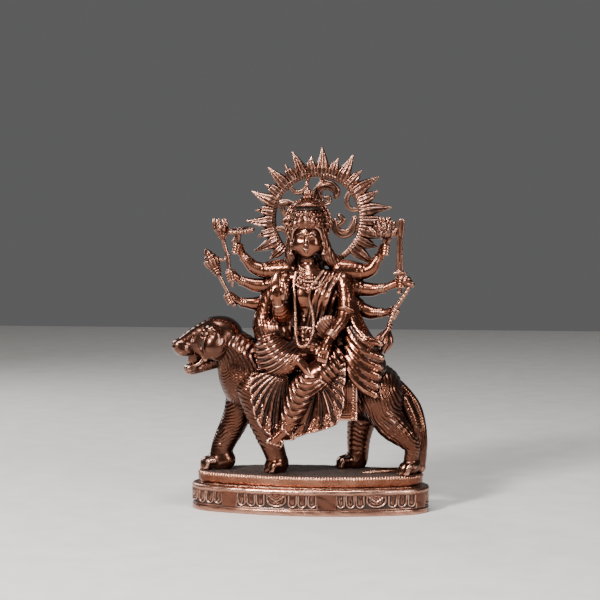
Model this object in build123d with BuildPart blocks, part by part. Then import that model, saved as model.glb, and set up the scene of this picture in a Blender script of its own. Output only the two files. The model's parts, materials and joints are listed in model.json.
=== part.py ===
"""Cast copper-finish statuette: an eight-armed goddess seated on a walking lion.

Frame: millimetres, +Z up, origin at the centre of the plinth's resting face.  The goddess faces -Y
and the lion walks towards -X.  "Right" and "left" are the figure's own: her right is -X, and the
lion's right is +Y.
"""
import math
import os

from build123d import *

os.makedirs("parts", exist_ok=True)

# ---------------------------------------------------------------- driving dimensions
PLINTH_LENGTH = 156.4
PLINTH_DEPTH = 62.0
PLINTH_HEIGHT = 17.0
PLINTH_END_RADIUS = 20.0
PLINTH_WALL = 3.5
PLINTH_ROOF = 4.0
COVER_RIM = 2.0
COVER_THICKNESS = 1.6
LIP_HEIGHT = 4.0
FRIEZE_TOP = 13.5
FRIEZE_DEPTH = 1.2
DECK_INSET = 4.2
DECK_TOP = 25.0
SCREW_RADIUS = 2.0
SCREW_HEAD_RADIUS = 3.6
SCREW_HEAD_HEIGHT = 2.4
SCREW_PLACES = ((-52, 0), (-18, 0), (18, 0), (52, 0))
PIN_RADIUS = 1.5
PIN_DEPTH = 4.0
PIN_RISE = 4.0
PAW_PLACES = ((-62, 0), (-22, -9), (27, 17), (64, -7))

LION_AXIS_Y = 2.0
LION_LENGTH_STATIONS = (
    # x, centre z, half width, half height
    (-54, 84, 12.0, 14.0),
    (-46, 88, 16.5, 21.0),
    (-30, 83, 18.5, 21.5),
    (-5, 77, 16.5, 18.5),
    (20, 76, 16.0, 18.0),
    (40, 77, 17.5, 18.5),
    (54, 75, 14.0, 14.5),
    (60, 73, 8.0, 8.5),
)
SKULL_RADIUS = 15.4
NOSE_TIP = (-83.5, -16.5, 107.6)
EYE_RADIUS = 2.4
EYE_PLACES = ((-63.6, -13.6, 117.4), (-74.2, -2.0, 117.0))

SADDLE_FRONT_X = -34.0
SADDLE_REAR_X = 33.0
SADDLE_HEM_Z = 62.0
SADDLE_HALF_WIDTH = 21.5
SADDLE_TOP_Z = 101.5
SADDLE_THICKNESS = 2.5

HEAD_CENTRE = (-1.3, -2.0, 177.0)

# Each rear arm: shoulder, elbow, wrist and fist.
REAR_ARMS = {
    "arm_right_upper": ((-15, 5, 156), (-35.5, 6, 155.5), (-45.0, 4, 166), (-48.6, 3, 171.4)),
    "arm_right_middle": ((-14, 5, 148), (-34.0, 6, 145.6), (-46.8, 3, 150.2), (-52.4, 2, 153.4)),
    "arm_right_lower": ((-13, 5, 141), (-33.8, 6, 134.2), (-46.0, 2, 135.7), (-52.8, 1, 138.6)),
    "arm_left_upper": ((19, 5, 156), (38.5, 6, 154.8), (44.8, 4, 165.5), (48.6, 3, 171.6)),
    "arm_left_middle": ((18, 5, 148), (37.5, 6, 144.2), (49.0, 2, 145.8), (58.0, 1, 150.4)),
    "arm_left_lower": ((17, 5, 141), (36.8, 6, 129.6), (47.7, 2, 129.4), (54.6, 0, 130.2)),
}
UPPER_ARM_RADIUS = 4.0
ELBOW_RADIUS = 3.8
WRIST_RADIUS = 2.3
FIST_RADIUS = 3.9
BANGLE_RADIUS = 3.4
BANGLE_WIDTH = 3.6

HALO_CENTRE = (2.7, 12.0, 190.4)
HALO_RADIUS = 29.7
HALO_TUBE = 2.1
RAY_COUNT = 21
RAY_FIRST_ANGLE = -38.4
RAY_PITCH = 12.3
LONG_RAY_TIP = 47.6
SHORT_RAY_TIP = 42.0
ROSETTE_RADIUS = 16.0

END_TAPER = 0.6
END_REACH = 0.6
BASE = (Align.CENTER, Align.CENTER, Align.MIN)


# ---------------------------------------------------------------- helpers
def half_length_arc_radius(half_length, half_depth, end_radius):
    """Radius of the long front arc of a four-arc oval."""
    run = half_length - end_radius
    rise = half_depth - end_radius
    return (run**2 + rise**2) / (2 * rise) + end_radius


def oval(half_length, half_depth, end_radius, height=0.0):
    """A four-arc oval sketch at a height."""
    run = half_length - end_radius
    arc_radius = half_length_arc_radius(half_length, half_depth, end_radius)
    centre_y = half_depth - arc_radius
    lean = math.atan2(-centre_y, run)
    touch_x = run + end_radius * math.cos(lean)
    touch_y = end_radius * math.sin(lean)
    with BuildSketch(Plane.XY.offset(height)) as outline:
        with BuildLine():
            ThreePointArc((-touch_x, touch_y), (0, half_depth), (touch_x, touch_y))
            ThreePointArc((touch_x, touch_y), (half_length, 0), (touch_x, -touch_y))
            ThreePointArc((touch_x, -touch_y), (0, -half_depth), (-touch_x, -touch_y))
            ThreePointArc((-touch_x, -touch_y), (-half_length, 0), (-touch_x, touch_y))
        make_face()
    return outline.sketch


def limb(*stations):
    """Add a rounded limb: a loft through circular stations, each a point and its radius."""
    points = [Vector(point) for point, _ in stations]
    radii = [radius for _, radius in stations]
    first_run = (points[0] - points[1]).normalized()
    last_run = (points[-1] - points[-2]).normalized()
    first = points[0] + first_run * (END_REACH * radii[0])
    last = points[-1] + last_run * (END_REACH * radii[-1])
    points = [first, *points, last]
    radii = [END_TAPER * radii[0], *radii, END_TAPER * radii[-1]]
    faces = []
    for index, (point, radius) in enumerate(zip(points, radii)):
        before = (point - points[max(index - 1, 0)]).normalized() if index else Vector(0, 0, 0)
        after = (points[index + 1] - point).normalized() if index + 1 < len(points) else Vector(0, 0, 0)
        along = (before + after).normalized()
        side = Vector(0, 1, 0) if abs(along.Y) < 0.8 else Vector(1, 0, 0)
        with BuildSketch(Plane(origin=point, x_dir=side, z_dir=along)) as section:
            Circle(radius)
        faces.append(section.sketch.faces()[0])
    loft(faces)


def lofted(*sections, ruled=False):
    """Add a body lofted through ellipses, each a centre, a normal, a side direction and two radii."""
    faces = []
    for centre, normal, side, side_radius, other_radius in sections:
        with BuildSketch(Plane(origin=centre, x_dir=side, z_dir=normal)) as section:
            Ellipse(side_radius, other_radius)
        faces.append(section.sketch.faces()[0])
    loft(faces, ruled=ruled)


def seat_on(*neighbours):
    """Shape the part in work to bear on its finished neighbours."""
    for neighbour in neighbours:
        add(neighbour.part, mode=Mode.SUBTRACT)


def finish(piece, name, count=1):
    """Keep the piece's main solids, label it and write it."""
    solids = piece.part.solids().sort_by(SortBy.VOLUME)[-count:]
    piece.part = Part(Compound(solids).wrapped)
    piece.part.label = name
    export_step(piece.part, f"parts/{name}.step")
    print(f"{name:24s} {piece.part.volume:10.1f} mm3, {len(piece.part.solids())} solids", flush=True)
    return piece


# ---------------------------------------------------------------- plinth
def cover_outline():
    """The outline of the plate that closes the plinth underneath."""
    return oval(PLINTH_LENGTH / 2 - COVER_RIM, PLINTH_DEPTH / 2 - COVER_RIM, PLINTH_END_RADIUS - COVER_RIM)


def make_base_cover():
    with BuildPart() as base_cover:
        extrude(cover_outline(), amount=COVER_THICKNESS)
    return finish(base_cover, "base_cover")


def make_plinth_base():
    half_length = PLINTH_LENGTH / 2
    half_depth = PLINTH_DEPTH / 2
    outline = oval(half_length, half_depth, PLINTH_END_RADIUS)
    hollow = oval(half_length - PLINTH_WALL, half_depth - PLINTH_WALL, PLINTH_END_RADIUS - PLINTH_WALL)
    frieze = oval(
        half_length - FRIEZE_DEPTH, half_depth - FRIEZE_DEPTH, PLINTH_END_RADIUS - FRIEZE_DEPTH, LIP_HEIGHT
    )
    surround = oval(half_length + 1, half_depth + 1, PLINTH_END_RADIUS + 1, LIP_HEIGHT)
    with BuildPart() as plinth_base:
        extrude(outline, amount=PLINTH_HEIGHT)
        # the frieze band is sunk between the bottom lip and the top moulding
        extrude(surround - frieze, amount=FRIEZE_TOP - LIP_HEIGHT, mode=Mode.SUBTRACT)
        # the casting is hollow, with a rebate underneath for the cover plate
        extrude(hollow, amount=PLINTH_HEIGHT - PLINTH_ROOF, mode=Mode.SUBTRACT)
        extrude(cover_outline(), amount=COVER_THICKNESS, mode=Mode.SUBTRACT)
        chamfer(plinth_base.faces().sort_by(Axis.Z)[-1].outer_wire().edges(), 1.0)
        with Locations(*[(x, y, PLINTH_HEIGHT) for x, y in SCREW_PLACES]):
            Hole(SCREW_RADIUS)
    return finish(plinth_base, "plinth_base")


def make_plinth_deck():
    outline = oval(
        PLINTH_LENGTH / 2 - DECK_INSET,
        PLINTH_DEPTH / 2 - DECK_INSET,
        PLINTH_END_RADIUS - DECK_INSET,
        PLINTH_HEIGHT,
    )
    with BuildPart() as plinth_deck:
        extrude(outline, amount=DECK_TOP - PLINTH_HEIGHT)
        fillet(plinth_deck.faces().sort_by(Axis.Z)[-1].edges(), 1.2)
        with Locations(*[(x, y, PLINTH_HEIGHT) for x, y in SCREW_PLACES]):
            Cylinder(SCREW_RADIUS, 6, align=BASE, mode=Mode.SUBTRACT)
        with Locations(*[(x, y, DECK_TOP) for x, y in PAW_PLACES]):
            Cylinder(PIN_RADIUS, 2 * PIN_DEPTH, mode=Mode.SUBTRACT)
    return finish(plinth_deck, "plinth_deck")


def make_deck_screws():
    underside = PLINTH_HEIGHT - PLINTH_ROOF
    with BuildPart() as deck_screws:
        with Locations(*[(x, y, underside) for x, y in SCREW_PLACES]):
            Cylinder(SCREW_RADIUS, PLINTH_ROOF + 6, align=BASE)
        with Locations(*[(x, y, underside - SCREW_HEAD_HEIGHT) for x, y in SCREW_PLACES]):
            Cylinder(SCREW_HEAD_RADIUS, SCREW_HEAD_HEIGHT, align=BASE)
            Box(5, 0.8, 1.6, mode=Mode.SUBTRACT)
    return finish(deck_screws, "deck_screws", len(SCREW_PLACES))


# ---------------------------------------------------------------- lion
def stand_on_deck():
    """Trim the part in work flat where it stands on the deck."""
    split(bisect_by=Plane.XY.offset(DECK_TOP), keep=Keep.TOP)


def make_paw_pins():
    with BuildPart() as paw_pins:
        with Locations(*[(x, y, DECK_TOP - PIN_DEPTH) for x, y in PAW_PLACES]):
            Cylinder(PIN_RADIUS, PIN_DEPTH + PIN_RISE, align=BASE)
    return finish(paw_pins, "paw_pins", len(PAW_PLACES))


def make_lion_body():
    with BuildPart() as lion_body:
        lofted(*[
            ((x, LION_AXIS_Y, z), (1, 0, 0), (0, 1, 0), half_width, half_height)
            for x, z, half_width, half_height in LION_LENGTH_STATIONS
        ])
        # neck
        limb(((-38, 1, 92), 15.0), ((-52, 0, 103), 12.5))
    return finish(lion_body, "lion_body")


def make_lion_eyes():
    with BuildPart() as lion_eyes:
        with Locations(*EYE_PLACES):
            Sphere(EYE_RADIUS)
    return finish(lion_eyes, "lion_eyes", 2)


def make_lion_head(*neighbours):
    with BuildPart() as lion_head:
        limb(
            ((-50, 5, 112), 11.0), ((-59, 0, 112), SKULL_RADIUS), ((-68, -6, 111), 12.2),
            ((-76, -11.5, 109), 8.0), (NOSE_TIP, 5.6),
        )
        seat_on(*neighbours)
    return finish(lion_head, "lion_head")


def make_lion_lower_jaw(lion_body, lion_head):
    with BuildPart() as lion_lower_jaw:
        limb(((-64, -5, 97), 5.0), ((-72, -10, 93), 4.4), ((-78.5, -15, 92.2), 3.2))
        seat_on(lion_body, lion_head)
    return finish(lion_lower_jaw, "lion_lower_jaw")


def make_front_leg_right(lion_body, paw_pins):
    with BuildPart() as leg:
        limb(((-46, 5, 76), 12.5), ((-51.5, 4, 56), 8.8), ((-59, 3, 42), 7.6), ((-60, 1, 30), 7.2))
        limb(((-57, 2, 29), 7.6), ((-66, -2, 28.5), 7.2))
        stand_on_deck()
        seat_on(lion_body, paw_pins)
    return finish(leg, "lion_front_leg_right")


def make_front_leg_left(lion_body, front_leg_right, paw_pins):
    with BuildPart() as leg:
        limb(((-34, -6, 78), 13.0), ((-30, -8, 58), 10.0), ((-24, -9, 44), 7.6), ((-22, -9, 30), 6.4))
        limb(((-20, -9, 28.5), 7.0), ((-24.5, -12, 28), 6.8))
        stand_on_deck()
        seat_on(lion_body, front_leg_right, paw_pins)
    return finish(leg, "lion_front_leg_left")


def make_hind_leg_right(lion_body, paw_pins):
    with BuildPart() as leg:
        limb(((40, 10, 74), 13.0), ((32, 13, 56), 8.6), ((29.5, 15, 42), 6.6), ((28, 16, 30), 6.2))
        limb(((29, 16, 29), 6.8), ((20, 15, 28), 5.6))
        stand_on_deck()
        seat_on(lion_body, paw_pins)
    return finish(leg, "lion_hind_leg_right")


def make_hind_leg_left(lion_body, hind_leg_right, paw_pins):
    with BuildPart() as leg:
        limb(((46, -6, 76), 14.0), ((53, -8, 64), 12.5), ((65, -8, 48), 6.2), ((66, -8, 31), 5.2))
        limb(((66.5, -7.5, 29), 5.4), ((61.5, -10.5, 28), 4.6))
        stand_on_deck()
        seat_on(lion_body, hind_leg_right, paw_pins)
    return finish(leg, "lion_hind_leg_left")


def make_lion_tail(lion_body, hind_leg_left):
    radius = 2.5
    with BuildPart() as lion_tail:
        limb(
            ((52, 2, 86), 3.2),
            ((64.5, 1, 79.5), radius),
            ((72.2, 0, 70), radius),
            ((75.6, -1, 57), radius),
            ((76.0, -2, 43), radius),
            ((74.0, -3, 30), radius),
            ((66.5, 2, 28), radius),
            ((50.0, -2, 27.6), radius),
            ((37.5, -9, 27.6), radius),
        )
        stand_on_deck()
        seat_on(lion_body, hind_leg_left)
    return finish(lion_tail, "lion_tail")


def make_saddle_cloth(*under):
    half_inner = SADDLE_HALF_WIDTH - SADDLE_THICKNESS
    shoulder_z = 80.0
    with BuildPart() as saddle_cloth:
        front_plane = Plane(origin=(SADDLE_FRONT_X, LION_AXIS_Y, shoulder_z), x_dir=(0, 1, 0), z_dir=(1, 0, 0))
        with BuildSketch(front_plane):
            Ellipse(SADDLE_HALF_WIDTH, SADDLE_TOP_Z - shoulder_z)
            with Locations((0, (SADDLE_HEM_Z - shoulder_z) / 2)):
                Rectangle(2 * SADDLE_HALF_WIDTH, shoulder_z - SADDLE_HEM_Z)
            with Locations((0, SADDLE_HEM_Z - shoulder_z - 5)):
                Rectangle(4 * SADDLE_HALF_WIDTH, 10, mode=Mode.SUBTRACT)
            Ellipse(half_inner, SADDLE_TOP_Z - shoulder_z - SADDLE_THICKNESS, mode=Mode.SUBTRACT)
            with Locations((0, (SADDLE_HEM_Z - shoulder_z) / 2)):
                Rectangle(2 * half_inner, shoulder_z - SADDLE_HEM_Z, mode=Mode.SUBTRACT)
        extrude(amount=SADDLE_REAR_X - SADDLE_FRONT_X)
        seat_on(*under)
    return finish(saddle_cloth, "saddle_cloth")


# ---------------------------------------------------------------- goddess
def make_torso(*under):
    sections = (
        # x, y, z, half width, half depth
        (3, 1, 96, 20, 13),
        (3, 1, 106, 20.5, 13),
        (2.4, 1, 118, 13, 9.5),
        (2.2, 0.5, 134, 14.5, 9.5),
        (2.4, 0.5, 147, 17.5, 9),
        (1.5, 0.5, 156, 13, 7),
        (-1, 0, 162, 5.5, 5),
    )
    with BuildPart() as torso:
        lofted(*[((x, y, z), (0, 0, 1), (1, 0, 0), width, depth) for x, y, z, width, depth in sections])
        seat_on(*under)
    return finish(torso, "torso")


def make_head(torso):
    x, y, z = HEAD_CENTRE
    with BuildPart() as head:
        lofted(
            ((x, y - 2.6, z - 11.6), (0, 0, 1), (1, 0, 0), 2.6, 2.2),
            ((x, y - 1.6, z - 9), (0, 0, 1), (1, 0, 0), 6.0, 6.2),
            ((x, y, z - 2), (0, 0, 1), (1, 0, 0), 8.6, 8.6),
            ((x, y, z + 5), (0, 0, 1), (1, 0, 0), 8.8, 9.0),
            ((x, y + 0.5, z + 11), (0, 0, 1), (1, 0, 0), 6.0, 6.5),
        )
        with Locations((x - 0.4, y + 2, z - 18)):
            Cylinder(4.3, 14, align=BASE)
        seat_on(torso)
    return finish(head, "head")


def make_hair(*neighbours):
    x, y, z = HEAD_CENTRE
    with BuildPart() as hair:
        lofted(
            ((x + 2, y + 9, z - 22), (0, 0, 1), (1, 0, 0), 12.0, 3.0),
            ((x + 1, y + 7, z - 10), (0, 0, 1), (1, 0, 0), 10.5, 5.0),
            ((x, y + 3, z + 4), (0, 0, 1), (1, 0, 0), 10.8, 8.4),
            ((x, y + 3, z + 11), (0, 0, 1), (1, 0, 0), 9.0, 7.5),
        )
        seat_on(*neighbours)
    return finish(hair, "hair")


def make_crown(head, hair):
    x, y, z = HEAD_CENTRE
    with BuildPart() as crown:
        with BuildSketch(Plane.XY.offset(z + 9)):
            with Locations((x, y)):
                Ellipse(10.2, 10.0)
        with BuildSketch(Plane.XY.offset(z + 21)):
            with Locations((x, y)):
                Ellipse(8.6, 8.0)
        loft()
        with Locations((x, y, z + 21)):
            Cylinder(7.8, 5.0, align=BASE)
        seat_on(head, hair)
    return finish(crown, "crown")


def make_crown_finial(*neighbours):
    x, y, z = HEAD_CENTRE
    foot = z + 26
    ring_underside = HALO_CENTRE[2] + HALO_RADIUS - HALO_TUBE
    with BuildPart() as crown_finial:
        with BuildSketch(Plane.XZ.offset(-y)):
            with BuildLine():
                Polyline(
                    (x, foot), (x + 3.8, foot), (x + 3.8, foot + 2), (x + 2.6, foot + 5),
                    (x + 1.0, foot + 7.5), (x + 1.6, foot + 9.5), (x + 0.8, foot + 11.5),
                    (x, foot + 11.5), close=True,
                )
            make_face()
        revolve(axis=Axis((x, y, 0), (0, 0, 1)))
        limb(((x, y, foot + 10.5), 1.0), ((x - 0.6, HALO_CENTRE[1] - 1.5, ring_underside - 0.6), 0.9))
        seat_on(*neighbours)
    return finish(crown_finial, "crown_finial")


def make_rosette(*neighbours):
    x, y, z = HEAD_CENTRE
    beads = 30
    with BuildPart() as rosette:
        with BuildSketch(Plane.XZ.offset(-(y + 9.0))):
            with Locations((x - 0.8, z + 11.4)):
                Circle(ROSETTE_RADIUS - 1.2)
                with PolarLocations(ROSETTE_RADIUS - 1.2, beads):
                    Circle(1.3)
        extrude(amount=-2.6)
        seat_on(*neighbours)
    return finish(rosette, "crown_rosette")


def make_earrings(head, hair):
    x, y, z = HEAD_CENTRE
    with BuildPart() as earrings:
        for side in (-1, 1):
            limb(((x + side * 10.6, y, z - 2), 1.5), ((x + side * 11.0, y - 0.5, z - 8), 2.1))
        seat_on(head, hair)
    return finish(earrings, "earrings", 2)


def make_necklace(*neighbours):
    with BuildPart() as necklace:
        with Locations(Plane(origin=(-0.5, -2.2, 156.5), z_dir=(0, -0.62, 0.78))):
            Torus(8.6, 1.3)
        seat_on(*neighbours)
    return finish(necklace, "necklace")


def make_garland(*under):
    strand = 1.5
    with BuildPart() as garland:
        limb(
            ((-7.0, -9.0, 155), strand), ((-7.4, -12.2, 140), strand), ((-6.8, -14.0, 126), strand),
            ((-6.4, -18.5, 118), strand), ((-4.0, -23.0, 112.5), strand), ((0.0, -24.0, 110.5), strand),
            ((3.6, -23.0, 112.5), strand), ((4.6, -18.5, 118), strand), ((4.0, -14.0, 126), strand),
            ((3.0, -12.4, 140), strand), ((7.4, -9.5, 154), strand),
        )
        seat_on(*under)
    return finish(garland, "garland")


def make_belt(torso):
    with BuildPart() as belt:
        with BuildSketch(Plane.XY.offset(116)):
            with Locations((2.4, 1)):
                Ellipse(15.2, 11.6)
        extrude(amount=4.0)
        seat_on(torso)
    return finish(belt, "belt")


def make_folded_leg(*under):
    with BuildPart() as folded_leg:
        limb(((6, -7, 106), 9.0), ((-22, -15, 104.5), 10.6), ((-10, -22, 101), 7.0), ((-3, -25, 101.5), 4.0))
        limb(((-3, -25, 101.5), 3.6), ((1, -27, 97.5), 3.2), ((4, -27.6, 93.5), 2.6))
        seat_on(*under)
    return finish(folded_leg, "folded_leg")


def make_hanging_leg(*under):
    with BuildPart() as hanging_leg:
        limb(
            ((14, -6, 104), 9.5), ((18, -18, 99), 9.5), ((9, -22.5, 87), 7.6), ((-1.5, -24, 74), 6.4),
            ((-12, -25, 58), 4.6), ((-15.5, -26, 53), 3.6), ((-19, -27.4, 48.5), 3.0),
        )
        seat_on(*under)
    return finish(hanging_leg, "hanging_leg")


def fan_plate(apex, hem, back_y, thickness):
    """Add a pleated cloth panel: a flat plate bounded by an apex and a curved hem."""
    with BuildSketch(Plane.XZ.offset(-back_y)) as outline:
        with BuildLine():
            edge = Spline(*hem)
            Polyline(edge @ 1, apex, edge @ 0)
        make_face()
    extrude(outline.sketch, amount=thickness)


def make_skirt_fan_right(*under):
    hem = ((-35.5, 92), (-36.2, 76), (-31.5, 60), (-17.5, 50))
    with BuildPart() as fan:
        fan_plate((-12, 95), hem, -20.0, 4.6)
        seat_on(*under)
    return finish(fan, "skirt_fan_right")


def make_skirt_fan_left(*under):
    hem = ((-10, 51), (6, 55), (18.5, 61), (24, 76), (25.5, 92))
    with BuildPart() as fan:
        fan_plate((8, 95), hem, -20.0, 4.6)
        seat_on(*under)
    return finish(fan, "skirt_fan_left")


def make_shawl(*under):
    sections = (
        # x, y, z, half width, half depth
        (25.5, -2, 151, 3.5, 4.5),
        (27.5, -4, 132, 4.5, 5.5),
        (33.0, -7, 114, 8.5, 8.0),
        (39.5, -11, 93, 8.0, 7.0),
    )
    with BuildPart() as shawl:
        lofted(*[((x, y, z), (0, 0, 1), (1, 0, 0), width, depth) for x, y, z, width, depth in sections])
        seat_on(*under)
    return finish(shawl, "shawl")


# ---------------------------------------------------------------- arms
def make_rear_arm(name, *neighbours):
    shoulder, elbow, wrist, fist = REAR_ARMS[name]
    with BuildPart() as arm:
        limb((shoulder, UPPER_ARM_RADIUS), (elbow, ELBOW_RADIUS), (wrist, WRIST_RADIUS), (fist, FIST_RADIUS))
        seat_on(*neighbours)
    return finish(arm, name)


def make_blessing_arm(*neighbours):
    with BuildPart() as arm:
        limb(((-14, 0, 148), 5.2), ((-16, -13, 127), 4.8), ((-18.4, -20, 140), 3.0))
        with Locations(Plane(origin=(-19, -20, 141), x_dir=(1, -0.2, 0), z_dir=(0, 0, 1))):
            Box(9.5, 4.0, 18, align=BASE)
        fillet(arm.edges().filter_by(Axis.Z), 1.6)
        seat_on(*neighbours)
    return finish(arm, "arm_blessing")


def make_resting_arm(*neighbours):
    with BuildPart() as arm:
        limb(
            ((20, -2, 149), 5.6), ((22.4, -10, 128), 5.2), ((15.0, -20, 115), 2.9), ((12.6, -26, 108.5), 4.2),
        )
        seat_on(*neighbours)
    return finish(arm, "arm_resting")


def make_bangles(arms):
    """One broad band of bangles on each wrist."""
    wrists = [(REAR_ARMS[name][1], REAR_ARMS[name][2]) for name in REAR_ARMS]
    wrists.append(((-16, -13, 127), (-18.4, -20, 140)))
    wrists.append(((22.4, -10, 128), (15.0, -20, 115)))
    with BuildPart() as bangles:
        for elbow, wrist in wrists:
            along = Vector(wrist) - Vector(elbow)
            with Locations(Plane(origin=wrist, z_dir=along).offset(-BANGLE_WIDTH)):
                Cylinder(BANGLE_RADIUS, BANGLE_WIDTH, align=BASE)
        seat_on(*arms)
    return finish(bangles, "bangles", len(wrists))


def make_armlets(arms, *under):
    """One armlet round the middle of each rear upper arm."""
    with BuildPart() as armlets:
        for shoulder, elbow, _, _ in REAR_ARMS.values():
            along = Vector(elbow) - Vector(shoulder)
            middle = Vector(shoulder) + along * 0.68
            with Locations(Plane(origin=middle, z_dir=along)):
                Cylinder(UPPER_ARM_RADIUS + 0.9, 3.0)
        seat_on(*arms, *under)
    return finish(armlets, "armlets", len(REAR_ARMS))


# ---------------------------------------------------------------- attributes
def make_chakra():
    x, y, z = (-46.2, 3.0, 182.6)
    with BuildPart() as chakra:
        with Locations(Plane(origin=(x, y, z), z_dir=(-0.08, 0, 1))):
            Cylinder(8.0, 2.4)
            with PolarLocations(8.0, 24):
                Cylinder(0.5, 2.4, mode=Mode.SUBTRACT)
        limb(((-49.0, 3, 171.5), 1.5), ((-49.2, 3, z - 1.6), 1.2))
    return finish(chakra, "chakra")


def make_flower_staff():
    foot, head, tip = (-51.6, 2, 148.5), (-58.4, 2, 179.5), (-60.4, 2, 189.5)
    with BuildPart() as staff:
        limb((foot, 1.2), ((-54.6, 2, 165), 1.2), (head, 1.5))
        with Locations(Plane(origin=head, z_dir=Vector(tip) - Vector(head))):
            Cone(2.0, 5.2, 6.0, align=BASE)
            with PolarLocations(3.6, 5):
                with Locations((0, 0, 5.4)):
                    Cone(1.6, 0.4, 5.0, align=BASE)
    return finish(staff, "flower_staff")


def make_mace():
    foot, tip = Vector(-50.6, 1, 134.6), Vector(-69.2, 1, 170.6)
    along = tip - foot
    outline = (
        # distance from the foot, radius
        (0, 1.3), (17, 1.3), (20, 2.4), (23.5, 3.4), (24.5, 4.2), (28, 4.4), (29, 5.0),
        (32.5, 5.0), (33.5, 4.0), (35.5, 2.6), (37.5, 2.6), (along.length, 0.8),
    )
    with BuildPart() as mace:
        with BuildSketch(Plane(origin=foot, x_dir=(0, 1, 0), z_dir=Vector(0, 1, 0).cross(along))):
            with BuildLine():
                Polyline((0, 0), *[(radius, step) for step, radius in outline], (0, along.length), close=True)
            make_face()
        revolve(axis=Axis(foot, along))
    return finish(mace, "mace")


def make_staff_strut(staff, mace):
    """Cast bar that ties the mace's head to the flower staff."""
    with BuildPart() as strut:
        limb(((-64, 1, 162.6), 1.1), ((-54.6, 2, 164.4), 1.1))
        seat_on(staff, mace)
    return finish(strut, "staff_strut")


def make_lotus():
    x, y, z = (48.6, 2.5, 178.4)
    with BuildPart() as lotus:
        limb(((49.0, 3, 166.5), 1.0), ((x, y, z), 1.2))
        with Locations((x, y, z)):
            Cone(2.0, 7.4, 8.0, align=BASE)
            with PolarLocations(5.4, 8):
                with Locations((0, 0, 7.4)):
                    Cone(2.0, 0.5, 4.6, align=BASE)
    return finish(lotus, "lotus")


def make_sword():
    x, y = 58.6, 0.6
    with BuildPart() as sword:
        with Locations((x, y, 142.5)):
            Cylinder(1.3, 17, align=BASE)
        with Locations((x, y, 158.2)):
            Box(8.4, 3.0, 1.8)
        with BuildSketch(Plane.XY.offset(159)):
            with Locations((x, y)):
                Ellipse(2.2, 0.9)
        with BuildSketch(Plane.XY.offset(184)):
            with Locations((x, y)):
                Ellipse(2.0, 0.8)
        with BuildSketch(Plane.XY.offset(190.6)):
            with Locations((x + 1.2, y)):
                Ellipse(0.4, 0.4)
        loft(ruled=True)
    return finish(sword, "sword")


def make_trident(*neighbours):
    neck = (50.6, -4, 119.4)
    with BuildPart() as trident:
        limb(((67.6, -3, 148.4), 1.0), ((55.4, -3, 130), 1.0), (neck, 1.2))
        for tip in ((42.0, -5, 113.0), (44.6, -6, 108.0), (50.0, -5, 109.0)):
            limb((neck, 1.6), (tip, 1.0))
        seat_on(*neighbours)
    return finish(trident, "trident")


# ---------------------------------------------------------------- halo
def make_halo_ring():
    with BuildPart() as halo_ring:
        with BuildSketch(Plane.XY.offset(HALO_CENTRE[2])):
            with Locations((HALO_CENTRE[0] + HALO_RADIUS, HALO_CENTRE[1])):
                Circle(HALO_TUBE)
        revolve(axis=Axis(HALO_CENTRE, (0, 1, 0)))
    return finish(halo_ring, "halo_ring")


def make_halo_rays(name, halo_ring, first, tip_radius, half_width):
    """Every other ray: leaf-shaped spikes seated on the ring."""
    foot_radius = HALO_RADIUS + 1.0
    with BuildPart() as rays:
        for index in range(first, RAY_COUNT, 2):
            angle = math.radians(RAY_FIRST_ANGLE + RAY_PITCH * index)
            outward = Vector(math.cos(angle), 0, math.sin(angle))
            lofted(
                *[
                    (Vector(HALO_CENTRE) + outward * radius, outward, (0, 1, 0), 0.5 * width, width)
                    for radius, width in (
                        (foot_radius, 0.85 * half_width), (foot_radius + 4, half_width), (tip_radius, 0.4)
                    )
                ],
                ruled=True,
            )
        seat_on(halo_ring)
    return finish(rays, name, (RAY_COUNT - first + 1) // 2)


def scroll_bar(radius, *points):
    """Add a round bar swept through points in the halo's plane, given relative to its centre."""
    x0, y0, z0 = HALO_CENTRE
    with BuildLine() as path:
        Spline(*[(x0 + dx, y0, z0 + dz) for dx, dz in points])
    with BuildSketch(Plane(origin=path.line @ 0, z_dir=path.line % 0)) as section:
        Circle(radius)
    sweep(section.sketch, path=path.line)


def make_scroll_crest(*neighbours):
    with BuildPart() as scroll:
        scroll_bar(1.7, (-3.0, 15.5), (-0.5, 20.0), (4.0, 24.2), (9.0, 24.0), (12.5, 20.0), (11.6, 16.5))
        scroll_bar(1.5, (4.0, 24.2), (5.0, 29.0))
        seat_on(*neighbours)
    return finish(scroll, "halo_scroll_crest")


def make_scroll_eye(*neighbours):
    with BuildPart() as scroll:
        scroll_bar(1.3, (27.4, 14.5), (21.5, 14.0), (20.0, 9.0), (23.5, 6.0), (28.6, 8.0))
        seat_on(*neighbours)
    return finish(scroll, "halo_scroll_eye")


def make_scroll_left(*neighbours):
    with BuildPart() as scroll:
        scroll_bar(1.8, (11.5, -0.5), (10.8, -4.0), (13.5, -9.0), (18.0, -10.5), (23.0, -8.0), (26.0, -1.0))
        scroll_bar(1.5, (23.0, -8.0), (28.8, -6.0))
        seat_on(*neighbours)
    return finish(scroll, "halo_scroll_left")


def make_scroll_right(*neighbours):
    with BuildPart() as scroll:
        scroll_bar(1.5, (-28.8, -6.5), (-21.5, -10.0), (-20.0, -16.5), (-24.6, -19.5))
        seat_on(*neighbours)
    return finish(scroll, "halo_scroll_right")


def make_scroll_tie(*neighbours):
    with BuildPart() as scroll:
        scroll_bar(1.5, (-28.6, 9.5), (-22.5, 10.0), (-17.5, 9.5))
        seat_on(*neighbours)
    return finish(scroll, "halo_scroll_tie")


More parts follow.
